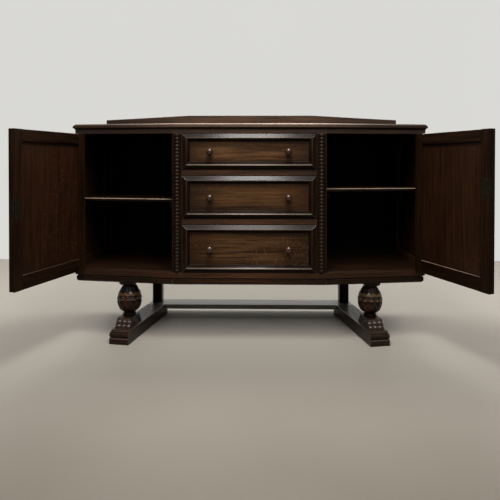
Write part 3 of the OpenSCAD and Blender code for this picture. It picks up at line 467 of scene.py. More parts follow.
@made_once
def oak(name, along, dark, light, rough=None, polish=0.20, ray=0.5, seed=0.0, frame_of=None, field=None,
        nosing=None, sheen_from=None):
    """Stained and polished oak. along is the axis of its grain, or an angle in plan for a door's rails.

    frame_of is the centre, turn, half width and half height of a mitred frame.
    field is a centre with half a width and height: painted shade darkens the colour towards the edge of that
    field.
    nosing is the lowest and highest place of a moulded edge.
    The place along Y and the height given for the sheen: behind and above them a painted sheen, the wall's
    reflection, makes the wood pale.
    """
    material, place, shader = new_material(name)
    if frame_of:
        at = frame_grain(place, *frame_of)
    else:
        turn = ALONG[along] if isinstance(along, str) else (0, 0, -along)
        at = place.mapped(place=(seed, seed * 0.7, seed * 1.3), turn=turn)
    streak, fine, pores, flecks, cloud = oak_grain(at)
    bands = at.mapped(place=(1, 5, 2), scale=(3.2, 62, 62)).noise(1, 3, 0.6)
    tone = streak.between(0.40, 0.60) * 0.44 + fine.between(0.38, 0.62) * 0.20
    tone = tone + cloud.between(0.36, 0.66) * 0.24 + bands.between(0.36, 0.64) * 0.18
    # Painted light and shade: the tone is brightest in the middle of the field and darker towards its edges
    if field:
        tone = tone * field_light(place, *field)
    if frame_of:
        ridge, painted_shading = mitred_sheen_and_shade(place, *frame_of)
        bare_and_lit = 0.20 + cloud * 0.7
    elif nosing:
        ridge, painted_shading = nosing_sheen_and_shade(place, *nosing)
        bare_and_lit = 0.60 + cloud * 0.8
    moulded = frame_of or nosing
    # On a moulded edge: a painted highlight over rubbed wood on the ridge or lip, and painted shade that
    # darkens the tone and mixes in the dark stain
    if moulded:
        colour = (tone * (1 - painted_shading * 0.85)).mix(dark, light)
        colour = (ridge * bare_and_lit).mix(colour, stain().worn_and_highlight)
        colour = (painted_shading * 0.7).mix(colour, dark)
    else:
        colour = tone.mix(dark, light)
    red = at.mapped(place=(3, 1, 2), scale=(1.6, 9, 9)).noise(1, 2).between(0.48, 0.72) * 0.35
    warm = [part * by for part, by in zip(light, (1.45, 1.05, 0.80))]
    colour = red.mix(colour, [(d + w) * 0.42 for d, w in zip(dark, warm)])
    # Painted sheen: behind and above the given place the wood turns pale, as the wall's reflection
    if sheen_from is not None:
        _, y, z = place.axes()
        pale = (z > sheen_from[1]) * (y > sheen_from[0]) * (0.25 + streak.between(0.40, 0.60) * 0.75)
        colour = pale.mix(colour, stain().painted_sheen)
    colour = (flecks * (ray * 0.7)).mix(colour, [min(1, part * 1.5 + 0.002) for part in light])
    colour = (pores * 0.55).mix(colour, *deeper(0.45, dark))
    base = stain().gloss if rough is None else rough
    roughness = base - 0.05 + cloud * 0.12 + pores * 0.10 - flecks * 0.06
    plug(shader, {
        "Base Color": colour,
        "Roughness": roughness + painted_shading * 0.25 if moulded else roughness,
        "Normal": (streak * 0.25 + fine * 0.20 - pores * 0.9 + flecks * 0.12).bump(0.22, 0.0006),
        "Specular IOR Level": polish * 0.3 if moulded else polish,
        "Coat Weight": (1 - painted_shading) * polish * 1.25 if moulded else polish * 0.6,
        "Coat Roughness": 0.24 if moulded else 0.18,
    })
    return material


@made_once
def worn_oak(name, light, above=None):
    """Rubbed edges: paler and smoother than the face beside them. Below a height they keep the dark stain, so
    that only the upper edges are pale: a painted highlight.
    """
    material, at, shader = new_material(name)
    rub = at.noise(9, 3, 0.6).between(0.22, 0.60)
    nick = at.noise(90, 2, 0.6).between(0.55, 0.75)
    bare_and_lit = rub * 0.8 + nick * 0.2
    # Below the given height the edge keeps its stain, so the pale edge is a painted highlight on the upper
    # edges only
    if above is not None:
        bare_and_lit = bare_and_lit * (at.axes()[2] > above)
    plug(shader, {
        "Base Color": bare_and_lit.mix(stain().case_dark, light),
        "Roughness": 0.44 - rub * 0.12,
        "Coat Weight": bare_and_lit * 0.25,
        "Coat Roughness": 0.28,
    })
    return material


def leg_carving_shading(at, centre, base, turn, leaves):
    """Painted light and shade of a carved leg: painted shade on the cut ground and rims of the leaves,
    painted highlights on their eyes and the band above, and a nearly black cover.
    """
    x, y, height = at.mapped(place=(-centre.x, -centre.y, -base)).axes()
    turns = (y.sum("ARCTAN2", y, x) - turn) * (leaves / (2 * pi))
    upper = abs(turns.sum("FRACT", turns + 20.0) - 0.5) * 2
    lower = abs(turns.sum("FRACT", turns + 20.5) - 0.5) * 2
    tip = LEAF_TIP - upper * upper * LEAF_DIP
    under = LOW_TIP - lower ** 1.6 * LOW_DIP
    ground = (height > tip) * (height < LEAF_GROUND)
    rim = (tip - height).between(0.0016, 0.0036)
    eye = (tip - height).within((0.0060, 0.0080), (0.0120, 0.0140)) * (1 - upper)
    leaf = (1 - rim) * 0.72 + rim * 0.14 + eye * 1.5
    low_rim = (under - height).between(0.0016, 0.0034)
    low_leaf = (1 - low_rim) * 0.64 + low_rim * 0.14
    cup = (height < under).pick(leaf, low_leaf)
    band = 0.45 + (height - LEAF_TIP).between(0.0, 0.008) * 0.40
    edge = COVER_EDGE + upper * upper * COVER_DIP
    cover = (height > edge - 0.0012) * (height < COVER_TOP + 0.0013)
    return (height > LEAF_GROUND).pick(cup * (1 - ground * 0.95), band) * (1 - cover * 0.98)


@made_once
def carved_oak(name, light, polish, seed=0.0, painted_shading=None):
    """Carved or turned oak: painted shade in its hollows, and lighter, rubbed high spots. The last argument
    is what the painted shading of a carved leg needs.
    """
    dark = stain().foot_dark
    material, at, shader = new_material(name)
    streak, fine, pores, _, cloud = oak_grain(at.mapped(place=(seed, 0, 0), turn=ALONG["z"]))
    # Painted shade: ambient occlusion darkens the hollows, and on the legs the carving's painted light and
    # shade is added
    open_sky = at.node("ShaderNodeAmbientOcclusion", {"Distance": 0.010},
                       {"samples": 8, "only_local": True}, out=1).between(0.55, 0.98)
    rub = open_sky * (0.45 + cloud * 0.9) * (0.55 + streak * 0.7)
    if painted_shading:
        rub = rub * leg_carving_shading(at, *painted_shading)
    red = at.noise(26, 2).between(0.5, 0.7) * 0.4
    colour = rub.between(0.16, 0.95).mix(dark, light)
    colour = red.mix(colour, (light[0] * 0.55, light[1] * 0.32, light[2] * 0.3))
    plug(shader, {
        "Base Color": (pores * 0.5).mix(colour, dark),
        "Roughness": 0.36 - rub * 0.14 + pores * 0.1,
        "Normal": (streak * 0.3 + fine * 0.25 - pores * 0.8).bump(0.2, 0.0005),
        "Specular IOR Level": polish * 0.4,
        "Coat Weight": rub.between(0.0, 0.5) * polish,
        "Coat Roughness": 0.24,
    })
    return material


@made_once
def old_metal(name, colour, tarnish, rough):
    """Metal with a mottled tarnish, rubbed bright in places."""
    material, at, shader = new_material(name)
    spots = at.noise(120, 4, 0.62).between(0.4, 0.68)
    rub = at.noise(38, 2).between(0.42, 0.62)
    plug(shader, {
        "Base Color": (spots * 0.7 * (1 - rub * 0.6)).mix(colour, tarnish),
        "Metallic": 0.95 - spots * 0.35,
        "Specular IOR Level": 0.2,
        "Roughness": rough + spots * 0.25 - rub * 0.08,
        "Normal": at.mapped(scale=(30, 30, 900)).noise(1, 2).bump(0.12, 0.0003),
    })
    return material


def case_oak(along, seed=0.0, depth=1.0, polish=0.16, field=None, sheen_from=None):
    """Oak of the case. A depth below 1 darkens the posts, door frames and base: partly their darker stain,
    partly painted shade.
    """
    dark, light = deeper(depth, stain().case_dark, stain().case_light)
    name = f"case_oak_{along}_{round(seed * 10)}_{round(depth * 100)}_{round(polish * 100)}"
    if field:
        name += f"_field_{round(field[0].z * 1000)}"
    return oak(name, along, dark, light, polish=polish, ray=0.35, seed=seed, field=field, sheen_from=sheen_from)


def panel_oak(seed):
    name = f"panel_oak_z_{round(seed * 10)}"
    return oak(name, "z", stain().panel_dark, stain().panel_light, ray=1.2, seed=seed)


def field_oak(node, seed, depth, ray):
    half = half_size(node)
    # Painted shade darkens the drawer's field towards its moulding, round a brighter middle
    field = (middle(node), half.x - MOULDING_WIDTH, half.z - MOULDING_WIDTH)
    dark, light = deeper(depth, stain().field_dark, stain().field_light)
    return oak("field_oak_" + node, "x", dark, light, polish=0.12, ray=ray, seed=seed, field=field)


# Near-black oak inside the cupboards: painted shade
def inner_oak(along):
    return oak(f"inner_oak_{along}", along, stain().inner_dark, stain().inner_light, rough=0.66, polish=0.04,
               ray=0.3, seed=2.2)


def box_oak(along):
    return oak(f"box_oak_{along}", along, stain().box_dark, stain().box_light, rough=0.62, ray=0.35, seed=4.1)


def top_oak(name, depth, nosing=None, field=None):
    dark, light = deeper(depth, stain().top_dark, stain().top_light)
    return oak(name, "x", dark, light, rough=0.36, polish=0.20, ray=0.3, seed=1.9, nosing=nosing, field=field)


def door_turn(side):
    """Angle in plan from the X axis to a door that stands open."""
    doors = bpy.context.scene.sideboard_doors
    return -(doors.cant + doors.left) if side == "left" else doors.cant + doors.right


def mitred_oak(node):
    """Oak of a door's or a drawer's mitred moulding, whose grain, pale ridge and painted shade follow each of
    its lengths.
    """
    side = node.split("_")[0]
    half = half_size(node)
    if side in DRAWERS:
        frame_of = (middle(node), 0.0, half.x, half.z)
    else:
        frame_of = (middle(node), door_turn(side), hypot(half.x, half.y) - 0.003, half.z)
    dark, light = deeper(0.6, stain().case_dark, stain().case_light)
    polish = {"middle": 0.18, "bottom": 0.17}.get(side, 0.20)
    return oak("mitred_oak_" + node, "x", dark, light, rough=0.30, polish=polish, ray=0.2, frame_of=frame_of)


# Boards of the case and base: their grain, seed, depth and polish, and the field where painted shade darkens
# them towards the ends, as half a length, half a height, a softness and the least light
# The depths are partly painted light and shade: darker uprights and bottom board, a lighter frieze under the
# top
CASE_BOARDS = {
    "frieze_rail": ("x", 0.0, 1.70, 0.32, (0.30, 0.05, 0.10, 0.08)),
    "drawer_rails": ("x", 1.8, 2.10, 0.22, (0.25, 0.30, 0.05, 0.30)),
    "base_rail": ("x", 0.6, 2.40, 0.08, (0.34, 0.05, 0.12, 0.15)),
    "base_moulding": ("x", 0.6, 1.25, 0.08, (0.34, 0.05, 0.12, 0.15)),
    "bottom_board": ("x", 2.4, 0.55, 0.16, None),
    "left_end_frame": ("z", 0.4, 0.80, 0.12, None),
    "right_end_frame": ("z", 1.7, 1.20, 0.12, None),
    "left_door_stiles": ("z", 0.4, 0.54, 0.05, None),
    "right_door_stiles": ("z", 1.7, 0.45, 0.05, None),
    "left_centre_post": ("z", 0.4, 0.27, 0.07, None),
    "right_centre_post": ("z", 1.7, 0.27, 0.07, None),
    "left_rear_post": ("z", 0.4, 0.27, 0.07, None),
    "right_rear_post": ("z", 1.7, 0.27, 0.07, None),
}
PANEL_SEEDS = {"left_door_panel": 0.3, "right_door_panel": 1.1, "left_end_panel": 2.0, "right_end_panel": 2.6}
INNER_GRAIN = {"left_shelf": "x", "right_shelf": "x", "back_panel": "x", "left_partition": "z",
               "right_partition": "z"}

# Drawer fronts: their seed, depth and ray fleck
FIELDS = {
    "top_drawer_front": (0.2, 1.12, 0.15),
    "middle_drawer_front": (1.3, 0.80, 0.35),
    "bottom_drawer_front": (2.7, 0.88, 0.50),
}


def board_finish(node):
    """The oak of each packed board, with its grain along the board."""
    side = node.split("_")[0]
    if node in CASE_BOARDS:
        along, seed, depth, polish, field = CASE_BOARDS[node]
        return case_oak(along, seed, depth, polish, field=field and (middle(node), *field))
    if node in PANEL_SEEDS:
        return panel_oak(PANEL_SEEDS[node])
    if node in INNER_GRAIN:
        return inner_oak(INNER_GRAIN[node])
    if node in FIELDS:
        return field_oak(node, *FIELDS[node])
    if node == "top_board":
        low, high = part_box(node)
        return top_oak("top_oak", 1.0, nosing=(low.z, high.z))
    if node == "back_gallery":
        # The gallery is brightest in its middle and darker towards its ends: painted light and shade
        return top_oak("gallery_oak", 0.90, field=(middle(node), 0.52, 0.06, 0.10, 0.45))
    if node == "stretcher":
        # The stretcher is light and pale all over: a painted sheen, the reflection of the wall
        return case_oak("x", 2.0, 3.2, 0.55, sheen_from=(0.0, 0.0))
    if node.endswith("door_rails"):
        return case_oak(round(door_turn(side), 4), 1.4, 0.44, 0.04)
    if node.endswith("sled_rail"):
        # The rails' tops behind the legs carry the painted sheen
        behind_leg, over_edge = middle(side + "_turned_leg").y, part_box(node)[1].z - 0.0015
        return case_oak("y", 0.9, 0.62, 0.12, sheen_from=(behind_leg, over_edge))
    return mitred_oak(node)


# Ways of working that several pieces share

# Points nearer than this are one point
MERGE = 0.00001


def only(*objects):
    """Selects these objects and nothing else, and makes the first active."""
    bpy.ops.object.select_all(action="DESELECT")
    for obj in objects:
        obj.hide_set(False)
        obj.select_set(True)
    bpy.context.view_layer.objects.active = objects[0]


@contextmanager
def editing(piece, kind="VERT", test=None):
    """Edit mode on a piece, with all of it selected, or only the points or faces that pass the test."""
    only(piece)
    bpy.ops.object.mode_set(mode="EDIT")
    bpy.ops.mesh.select_mode(type=kind)
    bpy.ops.mesh.select_all(action="DESELECT" if test else "SELECT")
    if test:
        bpy.ops.object.mode_set(mode="OBJECT")
        for part in piece.data.vertices if kind == "VERT" else piece.data.polygons:
            part.select = test(part)
        bpy.ops.object.mode_set(mode="EDIT")
    yield
    bpy.ops.object.mode_set(mode="OBJECT")


def begun(name, primitive, **settings):
    """A new primitive at its size, with its place in its mesh."""
    bpy.ops.object.select_all(action="DESELECT")
    primitive(**settings)
    piece = bpy.context.active_object
    piece.name = name
    bpy.ops.object.transform_apply(location=True, rotation=True, scale=True)
    return piece


def copied(pattern, name):
    """A copy of a piece with its own mesh."""
    only(pattern)
    bpy.ops.object.duplicate()
    piece = bpy.context.active_object
    piece.name = name
    return piece


def placed_copy(pattern, name, at, turn=(0, 0, 0)):
    """A copy of a piece, turned and moved to its place in the mesh."""
    piece = copied(pattern, name)
    piece.rotation_euler = turn
    piece.location = at
    bpy.ops.object.transform_apply(location=True, rotation=True, scale=True)
    return piece


def discard(*objects):
    only(*objects)
    bpy.ops.object.delete()


def reshape(piece, kind, **settings):
    """Gives a piece a modifier and applies it."""
    modifier = piece.modifiers.new(kind.lower(), kind)
    for name, value in settings.items():
        setattr(modifier, name, value)
    only(piece)
    bpy.ops.object.modifier_apply(modifier=modifier.name)


def ease(piece, width, segments, sharp, **settings):
    """Bevels the edges of a piece that are sharper than an angle."""
    reshape(piece, "BEVEL", width=width, segments=segments, limit_method="ANGLE", angle_limit=radians(sharp),
            **settings)


def finish_with(piece, *materials, smooth=None):
    """Gives a piece its materials, and smooth shading below an angle in degrees."""
    piece.data.materials.clear()
    for material in materials:
        piece.data.materials.append(material)
    if smooth is not None:
        only(piece)
        bpy.ops.object.shade_smooth_by_angle(angle=radians(smooth), keep_sharp_edges=True)


def turned(name, outline, steps):
    """A piece turned about Z from its half outline, given as (radius, height) from one pole to the other."""
    piece = begun(name, bpy.ops.mesh.primitive_plane_add, size=0.01)
    with editing(piece):
        bpy.ops.mesh.merge(type="CENTER")
        bpy.ops.transform.translate(value=(outline[0][0], 0, outline[0][1]))
        for (r0, z0), (r1, z1) in zip(outline, outline[1:]):
            bpy.ops.mesh.extrude_vertices_move(TRANSFORM_OT_translate={"value": (r1 - r0, 0, z1 - z0)})
        bpy.ops.mesh.select_all(action="SELECT")
        bpy.ops.mesh.spin(steps=steps, angle=2 * pi, center=(0, 0, 0), axis=(0, 0, 1))
        bpy.ops.mesh.select_all(action="SELECT")
        bpy.ops.mesh.remove_doubles(threshold=MERGE)
        bpy.ops.mesh.normals_make_consistent(inside=False)
    return piece


def carve(piece, cut_at, move):
    """Carves a piece and rounds the cuts. cut_at gives the cut at a point, and move makes one cut."""
    groups = {}
    for point in piece.data.vertices:
        cut = cut_at(point.co)
        if cut:
            groups.setdefault(cut, set()).add(point.index)
    for cut, wanted in sorted(groups.items()):
        with editing(piece, "VERT", lambda point: point.index in wanted):
            move(cut)
    reshape(piece, "SUBSURF", levels=1, render_levels=1)


def stand_for(piece, node):
    """The piece rides on the node's body and shows in its place."""
    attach(piece, BODY_OF[node])
    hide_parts(node)


def arc(centre, radius, start, end, steps):
    """Points of an arc in an outline, with angles in degrees from the radius direction."""
    turns = [radians(start + (end - start) * i / steps) for i in range(steps + 1)]
    return [(centre[0] + radius * cos(a), centre[1] + radius * sin(a)) for a in turns]


# Boards whose upper edge is pale: rubbed bare by hands, and a painted highlight of the light from above
HANDLED_AND_LIT = ("top_board", "left_shelf", "right_shelf")


def ease_boards(width, slot, *nodes):
    """Puts a copy with its sharp edges rubbed off in the place of each packed board."""
    for node in nodes:
        piece = copied(frame["nodes"][node], node + "_eased")
        del piece["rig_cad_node"]
        with editing(piece):
            bpy.ops.mesh.remove_doubles(threshold=MERGE)
            bpy.ops.mesh.dissolve_limited(angle_limit=radians(1))
        if node in HANDLED_AND_LIT:
            edge = worn_oak("handled_edge_" + node, stain().worn_and_highlight, above=middle(node).z)
        # The right door's rails take the brightest pale edge: a painted highlight of their lit upper edges
        elif node == "right_door_rails":
            edge = worn_oak("handled_edge_" + node, stain().worn_and_highlight)
        else:
            edge = worn_oak("worn_oak_edge", stain().worn)
        finish_with(piece, board_finish(node), edge)
        ease(piece, width, 1, 38, material=1)
        # The base rail is rubbed nowhere, and the doors' rails only on the edges that face up: a painted
        # highlight
        if node == "base_rail" or node.endswith("door_rails"):
            for face in piece.data.polygons:
                if node == "base_rail" or face.normal.z < 0.3:
                    face.material_index = 0
        bpy.ops.object.shade_smooth_by_angle(angle=radians(25), keep_sharp_edges=True)
        stand_for(piece, node)


# Operators, one for each piece or group of like pieces

class SIDEBOARD_OT_boards(bpy.types.Operator):
    """Eases the edges of the case's boards, rails and mouldings"""
    bl_idname = "sideboard.boards"
    bl_label = "Ease the case"

    def execute(self, context):
        edges = context.scene.sideboard_edges
        ease_boards(edges.top, "case_oak", "top_board", "back_gallery")
        ease_boards(edges.board, "case_oak", "frieze_rail", "base_rail", "base_moulding", "drawer_rails",
                    "left_centre_post", "right_centre_post", "left_end_frame", "right_end_frame")
        ease_boards(edges.moulding, "panel_oak", "left_end_panel", "right_end_panel")
        ease_boards(edges.moulding, "inner_oak", "bottom_board", "back_panel", "left_partition",
                    "right_partition")
        ease_boards(edges.shelf, "inner_oak", "left_shelf", "right_shelf")
        return {"FINISHED"}


class SIDEBOARD_OT_doors(bpy.types.Operator):
    """Eases the edges of the doors' stiles, rails, panels and mouldings"""
    bl_idname = "sideboard.doors"
    bl_label = "Ease the doors"

    def execute(self, context):
        edges = context.scene.sideboard_edges
        for side in SIDES:
            ease_boards(edges.board, "case_oak", side + "_door_stiles", side + "_door_rails")
            ease_boards(edges.moulding, "case_oak", side + "_door_moulding")
            ease_boards(edges.moulding, "panel_oak", side + "_door_panel")
        return {"FINISHED"}


class SIDEBOARD_OT_drawers(bpy.types.Operator):
    """Eases the edges of the drawers' fronts and mouldings"""
    bl_idname = "sideboard.drawers"
    bl_label = "Ease the drawers"

    def execute(self, context):
        edges = context.scene.sideboard_edges
        for drawer in DRAWERS:
            ease_boards(edges.moulding, "panel_oak", drawer + "_drawer_front")
            ease_boards(edges.moulding, "case_oak", drawer + "_drawer_moulding")
        return {"FINISHED"}


class SIDEBOARD_OT_base(bpy.types.Operator):
    """Eases the edges of the sledge rails, posts and stretcher"""
    bl_idname = "sideboard.base"
    bl_label = "Ease the base"

    def execute(self, context):
        ease_boards(context.scene.sideboard_edges.base, "base_oak", "left_sled_rail", "right_sled_rail",
                    "left_rear_post", "right_rear_post", "stretcher")
        return {"FINISHED"}


BEAD_POINTS = 8


class SIDEBOARD_OT_beads(bpy.types.Operator):
    """Turns a strip of beads, splits it, and fixes one half to each centre post"""
    bl_idname = "sideboard.beads"
    bl_label = "Turn the bead strips"

    def execute(self, context):
        beads = context.scene.sideboard_beads
        low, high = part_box("left_bead_strip")
        pitch = (high.z - low.z) / beads.count
        outline = [(0, low.z)]
        for i in range(beads.count):
            foot = low.z + i * pitch
            for j in range(BEAD_POINTS):
                swell = sqrt(max(0, 1 - ((j - 3.5) / 3.9) ** 2))
                radius = beads.waist + (beads.radius - beads.waist) * swell
                outline.append((radius, foot + pitch * (j + 0.5) / BEAD_POINTS))
        outline.append((0, high.z))
        pattern = turned("bead_strip", outline, 20)
        with editing(pattern):
            bpy.ops.mesh.bisect(plane_co=(0, 0, 0), plane_no=(0, 1, 0), clear_outer=True, use_fill=True)
            bpy.ops.mesh.select_all(action="SELECT")
            bpy.ops.mesh.normals_make_consistent(inside=False)
        for side in SIDES:
            node = side + "_bead_strip"
            low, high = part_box(node)
            strip = placed_copy(pattern, side + "_turned_beads", ((low.x + high.x) / 2, high.y, 0))
            finish_with(strip, carved_oak("beaded_oak", stain().bead, 0.10), smooth=50)
            stand_for(strip, node)
        discard(pattern)
        return {"FINISHED"}


class SIDEBOARD_OT_knobs(bpy.types.Operator):
    """Turns the knobs of the drawers"""
    bl_idname = "sideboard.knobs"
    bl_label = "Turn the knobs"

    def execute(self, context):
        knob = context.scene.sideboard_knob
        r, foot, neck = knob.ball_radius, knob.foot_radius, knob.neck_radius
        outline = [(0, 0), (foot - 0.0004, 0), (foot, 0.0005), (foot, 0.0012)]
        outline += arc((foot - 0.0014, 0.0014), 0.0014, 0, 75, 4)
        outline += arc((neck + 0.0021, 0.0062), 0.0024, 235, 150, 5)
        ball_foot = 57.3 * (neck + 0.0006) / r - 90
        outline += arc((0, knob.reach - r), r, ball_foot, 90, 16)[:-1]
        outline.append((0, knob.reach))
        pattern = turned("knob", outline, 40)
        wood = carved_oak("turned_oak", stain().knob, 0.65, seed=0.6)
        for drawer in DRAWERS:
            node = drawer + "_drawer_knobs"
            centre = middle(node)
            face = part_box(node)[0].y + knob.reach
            pair = [placed_copy(pattern, drawer + "_turned_knobs", (centre.x + across, face, centre.z),
                                (pi / 2, 0, 0)) for across in (-knob.spacing, knob.spacing)]
            only(*pair)
            bpy.ops.object.join()
            finish_with(pair[0], wood, smooth=40)
            stand_for(pair[0], node)
        discard(pattern)
        return {"FINISHED"}


# Half outline of a carved leg below its cap, as (radius, height) in millimetres
LEG_RING = [(0, 0), (24.0, 0), (24.6, 0.6), (25.4, 2.6), (25.6, 5.0), (25.3, 7.4), (24.2, 9.4), (22.6, 10.6),
            (20.4, 11.2), (19.6, 12.4), (19.6, 13.6), (20.6, 15.0)]
CUP_LOW, CUP_HIGH = (20.6, 15.0), (48.4, 62.5)
LEG_BAND = [(49.6, 64.2), (50.0, 66.0), (49.6, 67.8), (48.6, 69.2)]
COVER_LOW, COVER_HIGH = (48.6, 69.2), (28.0, 115.6)
LEG_NECK = [(25.2, 116.4), (24.0, 117.4), (24.0, 119.6), (24.6, 120.4), (0, 120.4)]
LEG_POINTS = 24


def leg_outline(base):
    """The leg's half outline in metres, from its foot to the underside of its cap."""
    outline = list(LEG_RING)
    (r0, z0), (r1, z1) = CUP_LOW, CUP_HIGH
    for i in range(1, LEG_POINTS + 1):
        a = radians(90 * i / LEG_POINTS)
        outline.append((r0 + (r1 - r0) * sin(a), z0 + (z1 - z0) * (1 - cos(a))))
    outline += LEG_BAND
    (r0, z0), (r1, z1) = COVER_LOW, COVER_HIGH
    for i in range(1, LEG_POINTS + 1):
        t = i / LEG_POINTS
        outline.append((r0 - (r0 - r1) * t ** 1.35, z0 + (z1 - z0) * t))
    return [(r * 0.001, base + z * 0.001) for r, z in outline + LEG_NECK]


def leg_cut(foot, angle, z):
    """How deep a leg is cut at an angle about its axis and a height above its foot."""
    turns = angle / (2 * pi)
    upper = 2 * abs(turns * foot.leaves % 1.0 - 0.5)
    lower = 2 * abs((turns * foot.leaves + 0.5) % 1.0 - 0.5)
    if CUP_FOOT < z < LEAF_GROUND:
        tip = LEAF_TIP - LEAF_DIP * upper ** 2
        under = LOW_TIP - LOW_DIP * lower ** 1.6
        if z > tip:
            return foot.leaf_cut
        if z < under:
            rim = under - z < 0.0022 or lower > 0.86
            vein = 0.0007 * (0.5 + 0.5 * cos(2 * pi * (z - 0.010 * lower) / 0.0062))
            return 0.0 if rim else 0.0007 + vein
        if tip - z < 0.0028 or upper > 0.90:
            return foot.leaf_cut * 0.22
        vein = 0.0006 * (0.5 + 0.5 * cos(2 * pi * (z + 0.012 * upper) / 0.0058))
        return foot.leaf_cut * 0.45 + 0.0012 * (1 - upper ** 2) + vein
    lobe = 2 * abs((turns * foot.gadroons + 0.5) % 1.0 - 0.5)
    over_edge = z - COVER_EDGE - COVER_DIP * lobe ** 2
    if over_edge > 0 and z < COVER_TOP:
        return min(1, over_edge / 0.003) * (0.0012 + foot.gadroon_cut * lobe ** 2.6)
    return 0.0


def carve_leg(leg, foot, base):
    """Cuts two rows of leaves into the cup and lobes into the cover, towards the leg's axis."""
    def share(co):
        r = hypot(co.x, co.y)
        return round(leg_cut(foot, atan2(co.y, co.x), co.z - base) / r, 3) if r > 0.001 else 0

    def draw_in(cut):
        bpy.ops.transform.resize(value=(1 - cut, 1 - cut, 1), center_override=(0, 0, 0))

    carve(leg, share, draw_in)


CAP_WIDTH, CAP_STEP = 0.060, 0.006


def leg_cap(low, high):
    """The square cap above a leg, with its lower edge bevelled and a small step."""
    cap = begun("leg_cap", bpy.ops.mesh.primitive_cube_add, size=1, location=(0, 0, (low + high) / 2),
                scale=(CAP_WIDTH, CAP_WIDTH, high - low))
    with editing(cap, "FACE", lambda face: face.normal.z < -0.9):
        bpy.ops.mesh.inset(thickness=CAP_STEP)
    rim = CAP_WIDTH / 2 - 0.001
    with editing(cap, "VERT", lambda p: p.co.z < low + 0.0001 and max(abs(p.co.x), abs(p.co.y)) > rim):
        bpy.ops.transform.translate(value=(0, 0, CAP_STEP))
    ease(cap, 0.0012, 2, 30)
    return cap


class SIDEBOARD_OT_legs(bpy.types.Operator):
    """Turns and carves the cup-and-cover legs"""
    bl_idname = "sideboard.legs"
    bl_label = "Carve the legs"

    def execute(self, context):
        foot = context.scene.sideboard_foot
        low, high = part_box("left_turned_leg")
        base = low.z
        leg = turned("carved_leg", leg_outline(base), 180)
        carve_leg(leg, foot, base)
        cap = leg_cap(base + 0.120, high.z)
        # The right leg takes a lighter, more olive colour: its own tone and a painted highlight
        for side, turn, light in (("left", -foot.splay, stain().foot_light),
                                  ("right", foot.splay, stain().leg_olive)):
            node = side + "_turned_leg"
            centre = middle(node)
            body = placed_copy(leg, side + "_carved_leg", (centre.x, centre.y, 0), (0, 0, turn))
            lid = placed_copy(cap, side + "_leg_cap", (centre.x, centre.y, 0), (0, 0, turn))
            painted_shading = (centre, base, turn, foot.leaves)
            finish_with(body, carved_oak(side + "_leg_oak", light, 0.25, painted_shading=painted_shading), smooth=60)
            finish_with(lid, case_oak("x", 0.8, 0.35), smooth=30)
            only(body, lid)
            bpy.ops.object.join()
            stand_for(body, node)
        discard(leg, cap)
        return {"FINISHED"}


# Foot block, at its foot and at its top: its front and back, from the front of its rail, and half its width
BLOCK_FRONT = (0.017, 0.034)
BLOCK_BACK = (0.1304, 0.1144)
BLOCK_HALF = (0.031, 0.0275)
BLOCK_GROUND = -0.0012


def lobe_height(x, s, slope, proud):
    """How far a block's front stands out at a place across it and up its slope."""
    height = BLOCK_GROUND
    long = (slope - 0.0060) / 4.6
    for row in (0.22, 0.66):
        centre = 0.0020 + (slope - 0.0050) * row
        for across in (-0.0194, 0, 0.0194):
            d = hypot((x - across) / 0.0090, (s - centre) / long)
            if d < 1:
                height = max(height, BLOCK_GROUND + (proud - BLOCK_GROUND) * sqrt(1 - d ** 2.6))
    return height


def scroll_depth(t, up):
    """How deep the scrolled line and its border are sunk at a place along and up a block's side."""
    if not 0.06 < t < 0.95:
        return 0.0
    off = abs(up - (0.5 + 0.30 * sin(2 * pi * (t - 0.12))))
    line = 0.0016 if off < 0.07 else 0.0008 if off < 0.12 else 0.0
    return max(line, 0.0010 if min(up, 1 - up) < 0.10 else 0.0)


def carve_block(block, proud, low, high):
    """Raises two rows of lobes on the block's sloping front and sinks a scrolled line into its sides."""
    run, rise = BLOCK_FRONT[1] - BLOCK_FRONT[0], high - low
    slope = hypot(run, rise)
    out = Vector((0, -rise, run)) / slope

    def shift(co):
        up = (co.z - low) / rise
        behind = co.y - BLOCK_FRONT[0] - run * up
        side = abs(co.x) > BLOCK_HALF[0] + (BLOCK_HALF[1] - BLOCK_HALF[0]) * up - 0.0001
        front = behind < 0.0001
        if front and not side and 0.02 < up < 0.98:
            return tuple(round(part, 4) for part in out * lobe_height(co.x, up * slope, slope, proud))
        if side and not front and 0.03 < up < 0.97:
            sunk = scroll_depth(behind / 0.080, up)
            return (round(-sunk if co.x > 0 else sunk, 4), 0, 0) if sunk else None
        return None

    carve(block, shift, lambda move: bpy.ops.transform.translate(value=move))


